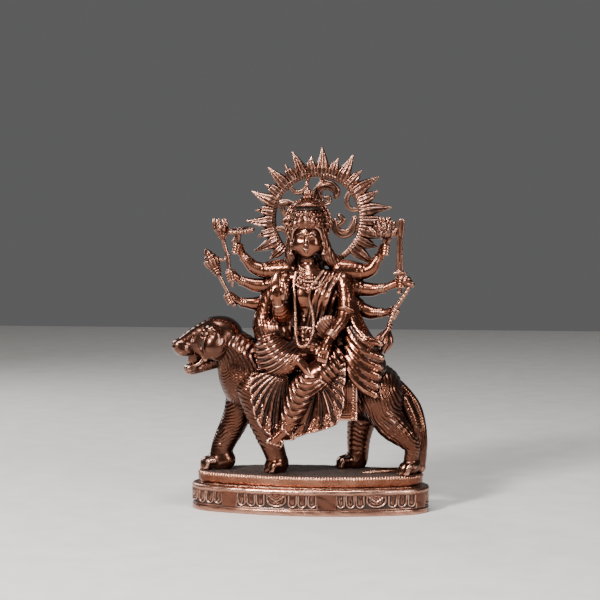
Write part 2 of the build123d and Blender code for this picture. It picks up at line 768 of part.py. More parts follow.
def make_halo_bracket(*neighbours):
    x0, y0, z0 = HALO_CENTRE
    with BuildPart() as bracket:
        with Locations((x0, y0 - 2.4, z0 - HALO_RADIUS - 12)):
            Box(10, 3.2, 26)
        fillet(bracket.edges().filter_by(Axis.Y), 2.0)
        seat_on(*neighbours)
        with Locations((x0, y0 - 2.4, z0 - HALO_RADIUS - 8), (x0, y0 - 2.4, z0 - HALO_RADIUS - 18)):
            Cylinder(1.2, 12, rotation=(90, 0, 0), mode=Mode.SUBTRACT)
    return finish(bracket, "halo_bracket")


def make_halo_screws():
    x0, y0, z0 = HALO_CENTRE
    with BuildPart() as screws:
        for drop in (8, 18):
            with Locations(Plane(origin=(x0, y0 - 0.8, z0 - HALO_RADIUS - drop), z_dir=(0, 1, 0))):
                Cylinder(2.2, 1.4, align=BASE)
            with Locations(Plane(origin=(x0, y0 - 8.8, z0 - HALO_RADIUS - drop), z_dir=(0, 1, 0))):
                Cylinder(1.2, 8.0, align=BASE)
    return finish(screws, "halo_screws", 2)


# ---------------------------------------------------------------- assembly
def build():
    make_base_cover()
    make_plinth_base()
    make_plinth_deck()
    make_deck_screws()
    paw_pins = make_paw_pins()

    lion_body = make_lion_body()
    lion_eyes = make_lion_eyes()
    lion_head = make_lion_head(lion_body, lion_eyes)
    make_lion_lower_jaw(lion_body, lion_head)
    leg_fr = make_front_leg_right(lion_body, paw_pins)
    leg_fl = make_front_leg_left(lion_body, leg_fr, paw_pins)
    leg_hr = make_hind_leg_right(lion_body, paw_pins)
    leg_hl = make_hind_leg_left(lion_body, leg_hr, paw_pins)
    make_lion_tail(lion_body, leg_hl)
    lion = (lion_body, lion_head, leg_fr, leg_fl, leg_hr, leg_hl)
    saddle = make_saddle_cloth(*lion)

    screws = make_halo_screws()
    halo_ring = make_halo_ring()
    torso = make_torso(lion_body, saddle, screws)
    head = make_head(torso)
    hair = make_hair(torso, head, halo_ring)
    crown = make_crown(head, hair)
    finial = make_crown_finial(crown, halo_ring)
    rosette = make_rosette(head, hair, crown, halo_ring)
    make_earrings(head, hair)
    belt = make_belt(torso)
    folded_leg = make_folded_leg(torso, saddle, lion_body, belt)
    hanging_leg = make_hanging_leg(torso, saddle, lion_body, folded_leg, leg_fl, belt)
    fan_right = make_skirt_fan_right(hanging_leg, folded_leg, saddle, leg_fl, lion_body)
    fan_left = make_skirt_fan_left(hanging_leg, folded_leg, saddle, leg_fl, lion_body)

    chakra = make_chakra()
    staff = make_flower_staff()
    mace = make_mace()
    make_staff_strut(staff, mace)
    lotus = make_lotus()
    sword = make_sword()
    held = (chakra, staff, mace, lotus, sword)
    arms = {}
    for name in REAR_ARMS:
        arms[name] = make_rear_arm(name, torso, hair, screws, *held, *arms.values())
    blessing = make_blessing_arm(torso, belt, folded_leg, *arms.values())
    resting = make_resting_arm(torso, belt, hanging_leg, folded_leg, *arms.values())
    all_arms = (*arms.values(), blessing, resting)
    shawl = make_shawl(torso, belt, hanging_leg, saddle, fan_left, *lion, *all_arms)
    necklace = make_necklace(torso, head, hair)
    make_garland(torso, belt, folded_leg, hanging_leg, necklace, head, hair, *all_arms)
    make_bangles(all_arms)
    make_armlets(arms.values(), shawl, torso, hair, halo_ring)
    make_trident(shawl, arms["arm_left_lower"])

    make_halo_bracket(halo_ring, torso, hair, head, screws, *arms.values())
    make_halo_rays("halo_rays_long", halo_ring, 0, LONG_RAY_TIP, 3.7)
    make_halo_rays("halo_rays_short", halo_ring, 1, SHORT_RAY_TIP, 3.1)
    make_scroll_crest(halo_ring, rosette, crown, finial)
    make_scroll_eye(halo_ring)
    make_scroll_left(halo_ring, rosette, hair)
    make_scroll_right(halo_ring, rosette, hair, *arms.values())
    make_scroll_tie(halo_ring, rosette)


if __name__ == "__main__":
    build()
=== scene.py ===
"""Looks of the cast copper statuette: an eight-armed goddess seated on a walking lion.

Pieces are sculpted as signed distance fields in millimetres, in the frame's own axes, and turned into
closed meshes.  The plinth's two steps are swept round its oval.  The cover, screws and dowels keep their
CAD meshes.  The copper's colouring is worked out from how deep each point lies in the sculpture: hollows
darken, crests brighten with wear that is partly a painted highlight, and where pieces close round a point
they give it painted shade.
"""

import json
import math
from concurrent.futures import ThreadPoolExecutor

import bpy
import numpy as np
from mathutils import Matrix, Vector


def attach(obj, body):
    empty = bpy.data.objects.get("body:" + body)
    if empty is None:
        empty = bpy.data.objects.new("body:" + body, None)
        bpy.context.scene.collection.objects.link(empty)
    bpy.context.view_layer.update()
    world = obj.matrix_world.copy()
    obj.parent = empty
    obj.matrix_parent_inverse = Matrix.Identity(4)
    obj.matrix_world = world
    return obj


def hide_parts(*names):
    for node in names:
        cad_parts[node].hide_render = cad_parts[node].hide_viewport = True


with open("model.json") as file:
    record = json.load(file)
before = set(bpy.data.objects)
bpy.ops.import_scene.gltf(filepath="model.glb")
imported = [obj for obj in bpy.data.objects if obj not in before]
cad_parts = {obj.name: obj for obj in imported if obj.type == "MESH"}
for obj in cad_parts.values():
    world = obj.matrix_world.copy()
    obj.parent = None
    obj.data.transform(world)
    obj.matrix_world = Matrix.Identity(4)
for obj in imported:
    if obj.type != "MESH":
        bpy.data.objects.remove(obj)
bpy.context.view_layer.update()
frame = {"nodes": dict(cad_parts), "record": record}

MM = 0.001
STEP_SCALE = 1.1  # how much coarser the cells are than each piece asks for
BLOCK = 6  # cells along the side of a block that is sampled, or skipped, as one
BATCH = 200000  # points worked out at once
SETTLING_ROUNDS = 2  # times that a mesh's points are moved onto the surface
THREADS = 4
FINE_REACH, COARSE_REACH = 0.9, 2.6  # how far round a point its hollowness is judged, in millimetres
TAU = 2 * math.pi


# ---------------------------------------------------------------- fields
class Form:
    """A solid: a signed distance field in millimetres, and the box that holds it."""

    def __init__(self, field, low, high):
        self.field = field
        self.low = np.array(low, np.float32)
        self.high = np.array(high, np.float32)


def length(vectors):
    return np.sqrt(np.einsum("ij,ij->i", vectors, vectors))


def unit(vector):
    return vector / np.linalg.norm(vector)


def along_and_around(q, axis):
    """How far each point lies along a unit axis, and out from it."""
    along = q @ axis
    return along, length(q - along[:, None] * axis)


def smooth_min(a, b, k):
    h = np.maximum(k - np.abs(a - b), 0.0) / k
    return np.minimum(a, b) - h * h * k * 0.25


def step_up(x, low, high):
    """0 below low, 1 above high, smooth between."""
    t = np.clip((x - low) / (high - low), 0, 1)
    return t * t * (3 - 2 * t)


def wobble(p, size, seed=0.0):
    """Gentle unevenness between -1 and 1, with features of about the given size."""
    x, y, z = (p[:, axis] / size for axis in range(3))
    return (
        np.sin(2.1 * x + 1.7 * z + seed) + np.sin(1.3 * y - 2.3 * x + 2 * seed)
        + np.sin(2.7 * z + 1.1 * y + 3 * seed)
    ) / 3


def rotation(turn_x=0, turn_y=0, turn_z=0):
    """Rotation matrix from degrees about X, then Y, then Z."""
    a, b, c = (math.radians(angle) for angle in (turn_x, turn_y, turn_z))
    rx = np.array([[1, 0, 0], [0, math.cos(a), -math.sin(a)], [0, math.sin(a), math.cos(a)]])
    ry = np.array([[math.cos(b), 0, math.sin(b)], [0, 1, 0], [-math.sin(b), 0, math.cos(b)]])
    rz = np.array([[math.cos(c), -math.sin(c), 0], [math.sin(c), math.cos(c), 0], [0, 0, 1]])
    return (rz @ ry @ rx).astype(np.float32)


def egg(centre, radii, turn=(0, 0, 0)):
    """Ellipsoid."""
    centre = np.array(centre, np.float32)
    radii = np.array(radii, np.float32)
    matrix = rotation(*turn)

    def field(p):
        q = (p - centre) @ matrix
        k0 = length(q / radii)
        k1 = length(q / (radii * radii))
        return k0 * (k0 - 1) / np.maximum(k1, 1e-6)

    reach = np.abs(matrix) @ radii if any(turn) else radii
    return Form(field, centre - reach, centre + reach)


def slab(centre, half, soft=0.5, turn=(0, 0, 0)):
    """Box with rounded edges."""
    centre = np.array(centre, np.float32)
    inner = np.array(half, np.float32) - soft
    matrix = rotation(*turn)

    def field(p):
        q = np.abs((p - centre) @ matrix) - inner
        return length(np.maximum(q, 0)) + np.minimum(q.max(axis=1), 0) - soft

    reach = np.abs(matrix) @ np.array(half, np.float32)
    return Form(field, centre - reach, centre + reach)


def drum(centre, axis, radius, half_height, soft=0.4):
    """Disc or short cylinder with rounded edges."""
    centre = np.array(centre, np.float32)
    axis = unit(np.array(axis, np.float32))

    def field(p):
        along, around = along_and_around(p - centre, axis)
        d = np.stack((around - radius + soft, np.abs(along) - half_height + soft), axis=1)
        return length(np.maximum(d, 0)) + np.minimum(d.max(axis=1), 0) - soft

    reach = radius + half_height
    return Form(field, centre - reach, centre + reach)


def hoop(centre, axis, radius, tube, flat=1.0):
    """Ring of round bar; flat under 1 squashes the bar along the ring's axis."""
    centre = np.array(centre, np.float32)
    axis = unit(np.array(axis, np.float32))

    def field(p):
        along, around = along_and_around(p - centre, axis)
        return np.hypot(around - radius, along / flat) - tube

    reach = radius + tube
    return Form(field, centre - reach, centre + reach)


def curve(points, count=4):
    """Smooth curve through points: each row a point and anything that goes with it."""
    rows = np.array(points, float)
    ends = np.vstack((2 * rows[0] - rows[1], rows, 2 * rows[-1] - rows[-2]))
    out = []
    for i in range(1, len(ends) - 2):
        p0, p1, p2, p3 = ends[i - 1 : i + 3]
        for j in range(count):
            t = j / count
            out.append(
                0.5 * (2 * p1 + (p2 - p0) * t + (2 * p0 - 5 * p1 + 4 * p2 - p3) * t * t
                       + (3 * p1 - p0 - 3 * p2 + p3) * t**3)
            )
    out.append(rows[-1])
    return np.array(out, np.float32)


def chain_field(stations):
    """Distance to round bar through stations (x, y, z, radius), and the place along it."""
    starts, ends = stations[:-1], stations[1:]
    runs = ends[:, :3] - starts[:, :3]
    squares = np.maximum((runs * runs).sum(axis=1), 1e-9)
    steps = np.sqrt(squares)
    before = np.concatenate(([0], np.cumsum(steps)[:-1]))

    def field(p, place=False):
        best = np.full(len(p), 1e9, np.float32)
        where = np.zeros(len(p), np.float32)
        for start, end, run, square, step, offset in zip(starts, ends, runs, squares, steps, before):
            q = p - start[:3]
            t = np.clip(q @ run / square, 0, 1)
            d = length(q - t[:, None] * run) - (start[3] + t * (end[3] - start[3]))
            if place:
                where = np.where(d < best, offset + t * step, where)
            best = np.minimum(best, d)
        return (best, where) if place else best

    return field


def limb(*stations, count=3):
    """Round limb through stations (x, y, z, radius), smoothly curved."""
    line = curve(stations, count)
    radius = line[:, 3:4]
    return Form(chain_field(line), (line[:, :3] - radius).min(axis=0), (line[:, :3] + radius).max(axis=0))


def turned(foot, tip, profile, soft=0.2):
    """Lathe-turned piece: profile rows are (share of the way from foot to tip, radius)."""
    foot = np.array(foot, np.float32)
    axis = np.array(tip, np.float32) - foot
    size = np.linalg.norm(axis)
    axis = axis / size
    shares, radii = np.array(profile, np.float32).T

    def field(p):
        along, around = along_and_around(p - foot, axis)
        wall = (around - np.interp(along / size, shares, radii)) * 0.8
        cap = np.maximum(-along, along - size)
        return smooth_max(wall, cap, soft)

    reach = radii.max() + 1
    ends = np.stack((foot, foot + axis * size))
    return Form(field, ends.min(axis=0) - reach, ends.max(axis=0) + reach)


def smooth_max(a, b, k):
    return -smooth_min(-a, -b, k)


def near_field(form, p, k):
    """A form's field, exact near its box and the gap to the box further away."""
    gap = length(np.maximum(np.maximum(form.low - p, p - form.high), 0))
    near = gap < max(k, 1.5) + 0.5
    gap[near] = form.field(p[near])
    return gap


def join(*forms, k=1.0):
    """Smooth union."""

    def field(p):
        d = near_field(forms[0], p, k)
        for form in forms[1:]:
            d = smooth_min(d, near_field(form, p, k), k)
        return d

    low = np.min([form.low for form in forms], axis=0)
    high = np.max([form.high for form in forms], axis=0)
    return Form(field, low, high)


def cut(form, *cutters, k=0.3):
    """Smooth difference."""

    def field(p):
        d = form.field(p)
        for cutter in cutters:
            d = smooth_max(d, -cutter.field(p), k)
        return d

    return Form(field, form.low, form.high)


def raised(form, relief, most=1.0):
    """Push the surface out by relief(p) millimetres, which is at most `most`."""
    return Form(lambda p: form.field(p) - relief(p), form.low - most, form.high + most)


# ---------------------------------------------------------------- meshes
def box_blur(grid, radius):
    """Mean over a cube, along each axis in turn."""
    for axis in range(3):
        padded = np.concatenate(
            [np.take(grid, [0], axis)] * (radius + 1) + [grid]
            + [np.take(grid, [-1], axis)] * radius,
            axis,
        )
        total = np.cumsum(padded, axis=axis, dtype=np.float32)
        width = 2 * radius + 1
        upper = np.take(total, np.arange(width, total.shape[axis]), axis)
        lower = np.take(total, np.arange(0, total.shape[axis] - width), axis)
        grid = (upper - lower) / width
    return grid


def sample_grid(form, step):
    """Field values on a grid: fine near the surface, coarse away from it."""
    low = form.low - 2.5 * step
    blocks = np.ceil((form.high + 2.5 * step - low) / (step * BLOCK)).astype(int)
    block_index = np.stack(np.meshgrid(*[np.arange(n) for n in blocks], indexing="ij"),
                           axis=-1).reshape(-1, 3)
    centres = (low + (block_index + 0.5 - 0.5 / BLOCK) * (step * BLOCK)).astype(np.float32)
    rough = form.field(centres).astype(np.float32)
    near = np.abs(rough) < step * BLOCK * 1.35
    grid = np.repeat(np.repeat(np.repeat(rough.reshape(blocks), BLOCK, 0), BLOCK, 1), BLOCK, 2)
    cell = np.stack(np.meshgrid(*[np.arange(BLOCK)] * 3, indexing="ij"), axis=-1).reshape(-1, 3)
    index = (block_index[near][:, None, :] * BLOCK + cell[None]).reshape(-1, 3)
    points = (low + index * step).astype(np.float32)
    values = np.concatenate([form.field(points[i : i + BATCH]) for i in range(0, len(points), BATCH)])
    grid[index[:, 0], index[:, 1], index[:, 2]] = values
    return grid, low


def surface_net(grid, low, step):
    """Closed quad mesh of the grid's zero surface: vertices, quads and each vertex's cell."""
    inside = grid < 0
    cells = np.zeros(np.array(grid.shape) - 1, np.int8)
    corners = [(i, j, k) for i in (0, 1) for j in (0, 1) for k in (0, 1)]
    nx, ny, nz = cells.shape
    for i, j, k in corners:
        cells += inside[i : nx + i, j : ny + j, k : nz + k]
    cell = np.argwhere((cells > 0) & (cells < 8))
    number = np.full(cells.shape, -1, np.int32)
    number[tuple(cell.T)] = np.arange(len(cell))
    values = {c: grid[cell[:, 0] + c[0], cell[:, 1] + c[1], cell[:, 2] + c[2]] for c in corners}
    total = np.zeros((len(cell), 3))
    hits = np.zeros(len(cell))
    for a in corners:
        for axis in range(3):
            if a[axis]:
                continue
            b = tuple(1 if n == axis else a[n] for n in range(3))
            crosses = (values[a] < 0) != (values[b] < 0)
            t = values[a] / np.where(crosses, values[a] - values[b], 1)
            place = np.array(a, float) + t[:, None] * (np.array(b) - np.array(a))
            total += place * crosses[:, None]
            hits += crosses
    points = (low + (cell + total / hits[:, None]) * step).astype(np.float32)
    quads = []
    for axis in range(3):
        u, v = (axis + 1) % 3, (axis + 2) % 3
        near = [slice(0, n) for n in inside.shape]
        far = list(near)
        near[axis] = slice(0, inside.shape[axis] - 1)
        far[axis] = slice(1, inside.shape[axis])
        here, there = inside[tuple(near)], inside[tuple(far)]
        edge = np.argwhere(here != there)
        edge = edge[(edge[:, u] > 0) & (edge[:, v] > 0)]
        du, dv = np.eye(3, dtype=int)[u], np.eye(3, dtype=int)[v]
        ring = [number[tuple((edge - du * a - dv * b).T)] for a, b in ((1, 1), (0, 1), (0, 0), (1, 0))]
        ring = np.stack(ring, axis=1)
        flip = ~here[tuple(edge.T)]
        ring[flip] = ring[flip][:, ::-1]
        quads.append(ring)
    return points, np.concatenate(quads), cell


def gradient(field, points, reach=0.12):
    base = field(points)
    slopes = [
        field(points + np.eye(3, dtype=np.float32)[axis] * reach) - base for axis in range(3)
    ]
    return base, np.stack(slopes, axis=1) / reach


def largest_shells(count, quads, share=0.03):
    """Mask of vertices in shells that have more than this share of the largest shell's vertices."""
    label = np.arange(count)
    ends = np.concatenate((quads[:, [0, 1]], quads[:, [1, 2]], quads[:, [2, 3]]))
    while True:
        low = np.minimum(label[ends[:, 0]], label[ends[:, 1]])
        before = label.copy()
        np.minimum.at(label, ends[:, 0], low)
        np.minimum.at(label, ends[:, 1], low)
        label = label[label]
        if np.array_equal(before, label):
            break
    sizes = np.bincount(label, minlength=count)
    return sizes[label] > share * sizes.max()


def smoothed(values, quads, rounds=2):
    """Values at the points, each averaged with its neighbours'."""
    shares = np.maximum(np.bincount(quads.reshape(-1), minlength=len(values)), 1)
    for _ in range(rounds):
        mean = values[quads].mean(axis=1)
        values = np.stack([
            sum(np.bincount(corner, column, len(values)) for corner in quads.T) / shares
            for column in mean.T
        ], axis=1)
    return values


def sculpt(form, step):
    """Mesh a form: points, quads, normals and how hollow the surface is at each point."""
    step = step * STEP_SCALE
    grid, low = sample_grid(form, step)
    points, quads, cell = surface_net(grid, low, step)
    for _ in range(SETTLING_ROUNDS):
        base, slope = gradient(form.field, points)
        square = np.maximum((slope * slope).sum(axis=1), 0.05)
        move = np.clip(base / square, -0.5 * step, 0.5 * step)
        points = points - slope * move[:, None]
    normals = slope / np.sqrt(np.maximum((slope * slope).sum(axis=1), 1e-9))[:, None]
    filled = np.clip(0.5 - grid / step, 0, 1).astype(np.float32)
    hollow = []
    for reach in (FINE_REACH, COARSE_REACH):
        soft = box_blur(filled, max(1, int(round(reach / step))))
        corner = [soft[cell[:, 0] + i, cell[:, 1] + j, cell[:, 2] + k] for i in (0, 1) for j in (0, 1)
                  for k in (0, 1)]
        hollow.append(sum(corner) / 8 - 0.5)
    keep = largest_shells(len(points), quads)
    renumber = np.cumsum(keep) - 1
    quads = renumber[quads[keep[quads[:, 0]]]]
    return {
        "points": points[keep], "quads": quads, "normals": normals[keep],
        "hollow": smoothed(np.stack(hollow, axis=1)[keep], quads), "grid": grid < 0, "low": low,
        "step": step,
    }


# ---------------------------------------------------------------- relief
def ridges(x, pitch, height=1.0, sharp=1.0):
    """Rounded ridges a pitch apart along x."""
    return height * (0.5 + 0.5 * np.cos(TAU * x / pitch)) ** sharp


def spokes(angle, radius, count, height):
    """A whole number of ridges round an axis, at a radius from it."""
    return ridges(angle * radius, TAU * radius / count, height)


def band(x, low, high, soft=0.4):
    """1 between low and high, 0 outside."""
    return step_up(x, low - soft, low + soft) * (1 - step_up(x, high - soft, high + soft))


def chasing(u, v, size, height):
    """Chased ornament: staggered rows of small spiral curls."""
    row = np.floor(v / size)
    across = (u / size + 0.5 * (row % 2)) % 1 - 0.5
    up = (v / size) % 1 - 0.5
    reach = np.hypot(across, up)
    curl = 0.5 + 0.5 * np.cos(TAU * 2.0 * reach - np.arctan2(up, across))
    return height * curl * (1 - step_up(reach, 0.36, 0.52))


# ---------------------------------------------------------------- lion
LION_HEAD = np.array([-60.0, -1.0, 112.0])
LION_YAW = 35
LION_FORWARD = -rotation(turn_z=LION_YAW)[:, 0]
LION_SIDE = -rotation(turn_z=LION_YAW)[:, 1]
LION_AXIS_Y = 2.0
DECK_TOP = 25.0


def lion_point(forward, side, up, radius=None):
    """A point given from the centre of the lion's skull, with a limb radius if wanted."""
    place = LION_HEAD + forward * LION_FORWARD + side * LION_SIDE + np.array([0, 0, up])
    return tuple(place) if radius is None else (*place, radius)


def lion_egg(place, radii):
    return egg(lion_point(*place), radii, (0, 0, LION_YAW))


def lion_head():
    at = lion_point
    skull = join(
        lion_egg((-1.6, 0, 0.2), (14.6, 13.6, 14.4)),
        limb(at(5, 0, 4, 9.6), at(15, 0, 1.4, 7.6), at(25, 0, -3.0, 5.8), at(28, 0, -4.4, 5.0)),
        limb(at(6, 0, -3, 9.0), at(16, 0, -6, 5.8)),
        lion_egg((14, -1.6, -14), (7.6, 4.0, 7.6)),
        k=4,
    )
    parts = [skull, lion_egg((31.0, 0, -3.0), (2.5, 3.8, 2.5))]
    hollows = []
    for side in (-1, 1):
        parts += [
            lion_egg((26.2, 3.2 * side, -6.8), (5.2, 3.2, 3.8)),
            lion_egg((5.5, 8.8 * side, -4.6), (9.6, 5.6, 9.4)),
            lion_egg((9.6, 8.6 * side, 6.8), (3.6, 3.0, 2.4)),
            lion_egg((7.0, 11.2 * side, 3.2), (2.2, 1.6, 2.2)),
            limb(at(16.5, 4.4 * side, 0.2, 1.9), at(18.0, 5.2 * side, -5, 2.0),
                 at(13.5, 7.0 * side, -12.6, 1.9)),
        ]
        hollows += [
            lion_egg((15.2, 9.6 * side, 4.0), (2.2, 2.6, 1.5)),
            lion_egg((34.2, 1.6 * side, -3.4), (0.9, 0.9, 0.7)),
            limb(at(21.4, 6.2 * side, 2.0, 0.3), at(21.2, 7.9 * side, -2.4, 0.5),
                 at(20.0, 8.0 * side, -8, 0.5)),
        ]
    head = cut(join(*parts, k=2.6), *hollows, k=1.8)

    def relief(p):
        q = p - LION_HEAD.astype(np.float32)
        f, s, u = q @ LION_FORWARD, q @ LION_SIDE, q[:, 2]
        muzzle = band(f, 21, 29, 1.5) * (u < -1) * ridges(u + 0.12 * f, 1.7, 0.1)
        frown = (
            band(f, 12, 20, 1.5) * band(np.abs(s), 1.4, 5.4, 0.8) * step_up(u, 2, 5)
            * ridges(np.abs(s) + 0.1 * f, 1.8, 0.04)
        )
        jowl = (
            band(f, -14, 7, 2) * (1 - step_up(u, -4, 3))
            * ridges(np.hypot(f - 14, u - 3) + 0.3 * np.sin(u), 2.6, 0.13)
        )
        nape = (1 - step_up(f, -9, -3)) * ridges(np.arctan2(s, u + 4) * 13 + 0.6 * np.sin(f / 2), 2.8, 0.16)
        return muzzle + frown + jowl + nape + 0.08 * wobble(p, 5)

    return raised(head, relief)


def lion_lower_jaw():
    at = lion_point
    jaw = join(
        limb(at(0, 0, -13, 6.4), at(11, 0, -17.4, 4.4), at(17, 0, -19.4, 3.6), at(21.4, 0, -20.0, 2.9)),
        *[limb(at(12, 5.2 * side, -9.0, 2.2), at(16.6, 4.4 * side, -15.6, 1.4),
               at(23.2, 1.8 * side, -18.2, 1.1)) for side in (1, -1)],
        lion_egg((20.2, 0, -19.4), (4.4, 3.8, 3.4)),
        k=1.6,
    )
    trough = limb(at(13, 0, -11.6, 2.8), at(17, 0, -13.8, 2.4), at(23, 0, -15.4, 1.6))
    tongue = limb(at(13, 0, -15.8, 2.0), at(19, 0, -17.2, 1.4))
    beard = lambda p: ridges(p[:, 2] - 0.2 * p[:, 0], 2.1, 0.2) * (p[:, 2] < 93)
    return raised(join(cut(jaw, trough, k=0.8), tongue, k=0.4), beard)


def lion_eyes():
    balls = []
    for side in (-1, 1):
        ball = egg(lion_point(12.9, 7.9 * side, 4.1), (1.7, 1.8, 1.3))
        balls.append(cut(ball, egg(lion_point(14.6, 9.6 * side, 4.1), (0.8, 0.7, 0.45)), k=0.3))
    return join(*balls, k=0.1)


def haunch_fur(p):
    """Long wavy locks that sweep down and back over the haunch."""
    x, z = p[:, 0] - 105, p[:, 2] - 100
    around = np.arctan2(-z, -x)
    sweep = np.hypot(x, z) + 1.1 * np.sin(9 * around + 0.12 * x) + 0.4 * np.sin(31 * around)
    return ridges(sweep, 2.2, 0.34 + 0.14 * wobble(p, 6), 0.8)


def lion_body():
    body = join(
        limb((-37, 1, 92, 15), (-44, 1, 99, 14.5), (-51, 0, 105, 13)),
        egg((-43.8, 1, 85), (15, 16, 19)),
        limb((-55, -4, 98, 6.0), (-52, -3, 89, 6.6)),
        egg((-22, 2, 82), (30, 17.5, 20)),
        egg((14, 2, 76.4), (40, 16, 18.4)),
        egg((43, 2, 77.5), (18, 17, 19)),
        k=7,
    )

    def relief(p):
        x, y, z = p.T
        around = 0.85 * x + 0.5 * np.abs(y - LION_AXIS_Y)
        fur = haunch_fur(p) * step_up(x, 24, 32)
        bend = 0.9 * np.sin(z / 3.6 + 0.08 * around) + 0.5 * np.sin(z / 1.9 + 0.3 * around)
        locks = (
            ridges(around + 0.30 * (z - 95) + bend, 2.6, 0.45) * band(x, -60, -26, 3) * step_up(z, 86, 96)
        )
        lock = ((around / 11 + 0.25) % 1 - 0.5) * 11
        curls = ridges(z - 0.11 * lock * lock + 0.6 * np.sin(z / 3.4), 2.3, 0.34)
        curls *= (1 - step_up(x, -38, -30)) * (1 - step_up(z, 86, 96))
        belly = ridges(x + 0.4 * z, 3.0, 0.25) * band(x, -30, 28, 3) * (1 - step_up(z, 66, 72))
        return fur + locks + curls + belly

    return raised(body, relief, 1.2)


def paw(x, y, half_width, reach, turn=0):
    """Foot on the deck, with four clawed toes; it points along -X, turned by some degrees about Z."""
    lean = rotation(turn_z=turn)
    at = lambda dx, dy, z: tuple(np.array([x, y, 0]) + lean @ np.array([dx, dy, 0]) + np.array([0, 0, z]))
    parts = [limb((*at(2, 0, 31), 0.86 * half_width), (*at(-reach + 5, 0, 28.6), 0.72 * half_width))]
    claws = []
    for place in (-1.5, -0.5, 0.5, 1.5):
        dy = place * half_width * 0.52
        back = 0.9 * place * place
        parts.append(
            limb((*at(-reach + 7 + back, dy, 31), 1.9), (*at(-reach + 3.4 + back, dy, 30.4), 2.1),
                 (*at(-reach + 1.9 + back, dy, 27), 1.9))
        )
        claws.append(limb((*at(-reach + 1.2 + back, dy, 28), 0.8),
                          (*at(-reach - 0.2 + back, dy, 25.9), 0.45)))
    return join(join(*parts, k=1.1), *claws, k=0.3)


def leg_fur(x_lean, z_low, z_high, pitch=2.2, height=0.27):
    def relief(p):
        across = p[:, 0] + 0.6 * p[:, 1]
        line = (
            p[:, 2] + x_lean * across + 0.9 * np.sin(across / 2.3 + p[:, 2] / 5)
            + 0.3 * np.sin(across * 1.3)
        )
        return ridges(line, pitch, height * (1 + 0.4 * wobble(p, 5))) * band(p[:, 2], z_low, z_high, 3)

    return relief


def standing(form):
    """A form cut flat where it stands on the deck."""
    foot = DECK_TOP + 0.02
    low = form.low.copy()
    low[2] = max(low[2], foot)
    return Form(lambda p: smooth_max(form.field(p), foot - p[:, 2], 0.2), low, form.high)


def lion_front_leg_right():
    leg = limb((-43.8, 5, 78, 11.6), (-49.2, 4, 60, 9.2), (-56.4, 3, 45, 7.8), (-59.6, 2, 36, 7.2),
               (-59.6, 1, 30, 6.8))
    leg = raised(leg, leg_fur(-0.45, 41, 84))
    return standing(join(leg, paw(-58, 1, 7.4, 15, 12), k=2))


def lion_front_leg_left():
    leg = join(
        limb((-36, -7, 80, 12.5), (-30.5, -9, 62, 10), (-25.4, -9.5, 47, 8.0), (-21.4, -9.5, 36, 7.0),
             (-20.6, -9.5, 30, 6.8)),
        limb((-41.5, -9, 84, 3.4), (-39.5, -12, 70, 2.6), (-34.5, -12.5, 56, 2.0), (-30, -12.5, 45, 1.4)),
        k=2,
    )
    leg = raised(leg, leg_fur(0.5, 42, 90, 2.6, 0.36))
    return standing(join(leg, paw(-20.5, -10, 6.6, 9, 28), k=2))


def lion_hind_leg_right():
    leg = limb((41, 10, 74, 12.4), (33.4, 13, 58, 9.6), (30.8, 15, 45, 7.8), (30.4, 15.5, 35, 7.0),
               (29.4, 16, 30, 6.8))
    return standing(join(raised(leg, leg_fur(0.2, 36, 80, 3.2, 0.22)), paw(28.5, 15.5, 6.8, 13, 8), k=2))


def lion_hind_leg_left():
    leg = join(
        egg((46, -4, 76), (15.5, 14.5, 18)),
        limb((47, -7, 72, 12), (53.6, -8.5, 58.6, 10.2), (62.6, -8.5, 49.8, 7.4), (67.6, -8, 43, 5.2),
             (67, -8, 35, 4.8), (66.6, -8, 30, 4.8)),
        k=3,
    )
    leg = raised(leg, lambda p: haunch_fur(p) * step_up(p[:, 2], 34, 46))
    spur = limb((69.6, -7, 47, 2.0), (71.6, -5, 38, 1.6), (70.4, -6, 29, 1.6))
    return standing(join(leg, spur, paw(66.5, -9, 5.6, 8.6, 30), k=1.5))


def lion_tail():
    radius = 2.7
    tail = join(
        limb((49, 2, 86.4, 4.2), (56.6, 2, 83, 3.6), (63.8, 1, 77.4, radius), (70.2, 0, 68.6, radius),
             (73.6, -1, 56.4, radius), (74.2, -2, 43, 2.9), (73, -3, 30, 2.9)),
        limb((62.6, -2, 72, 4.2), (67.4, -3, 61, 4.4), (70, -3, 50, 3.4)),
        limb((73, -3, 28.4, 2.6), (66.5, 2, 26.6, 2.2), (56, 0, 26.0, 2.0), (46, -4, 25.8, 2.4),
             (36.5, -9.6, 25.4, 1.0)),
        limb((71.8, -2, 52, 2.8), (71.6, -3, 40, 3.4), (71.2, -3, 30, 3.2)),
        k=1.6,
    )

    def relief(p):
        x, y, z = p.T
        twist = ridges(z - 0.8 * x + 0.6 * y, 2.2, 0.22) * step_up(z, 54, 60)
        strands = ridges(x + 0.9 * y + 0.1 * z, 2.0, 0.28) * (1 - step_up(z, 54, 60))
        return twist + strands

    return standing(raised(tail, relief))


SADDLE_FRONT, SADDLE_REAR = -34.0, 33.0
SADDLE_HEM, SADDLE_SPRING = 61.0, 80.0
SADDLE_RADIUS = 21.5


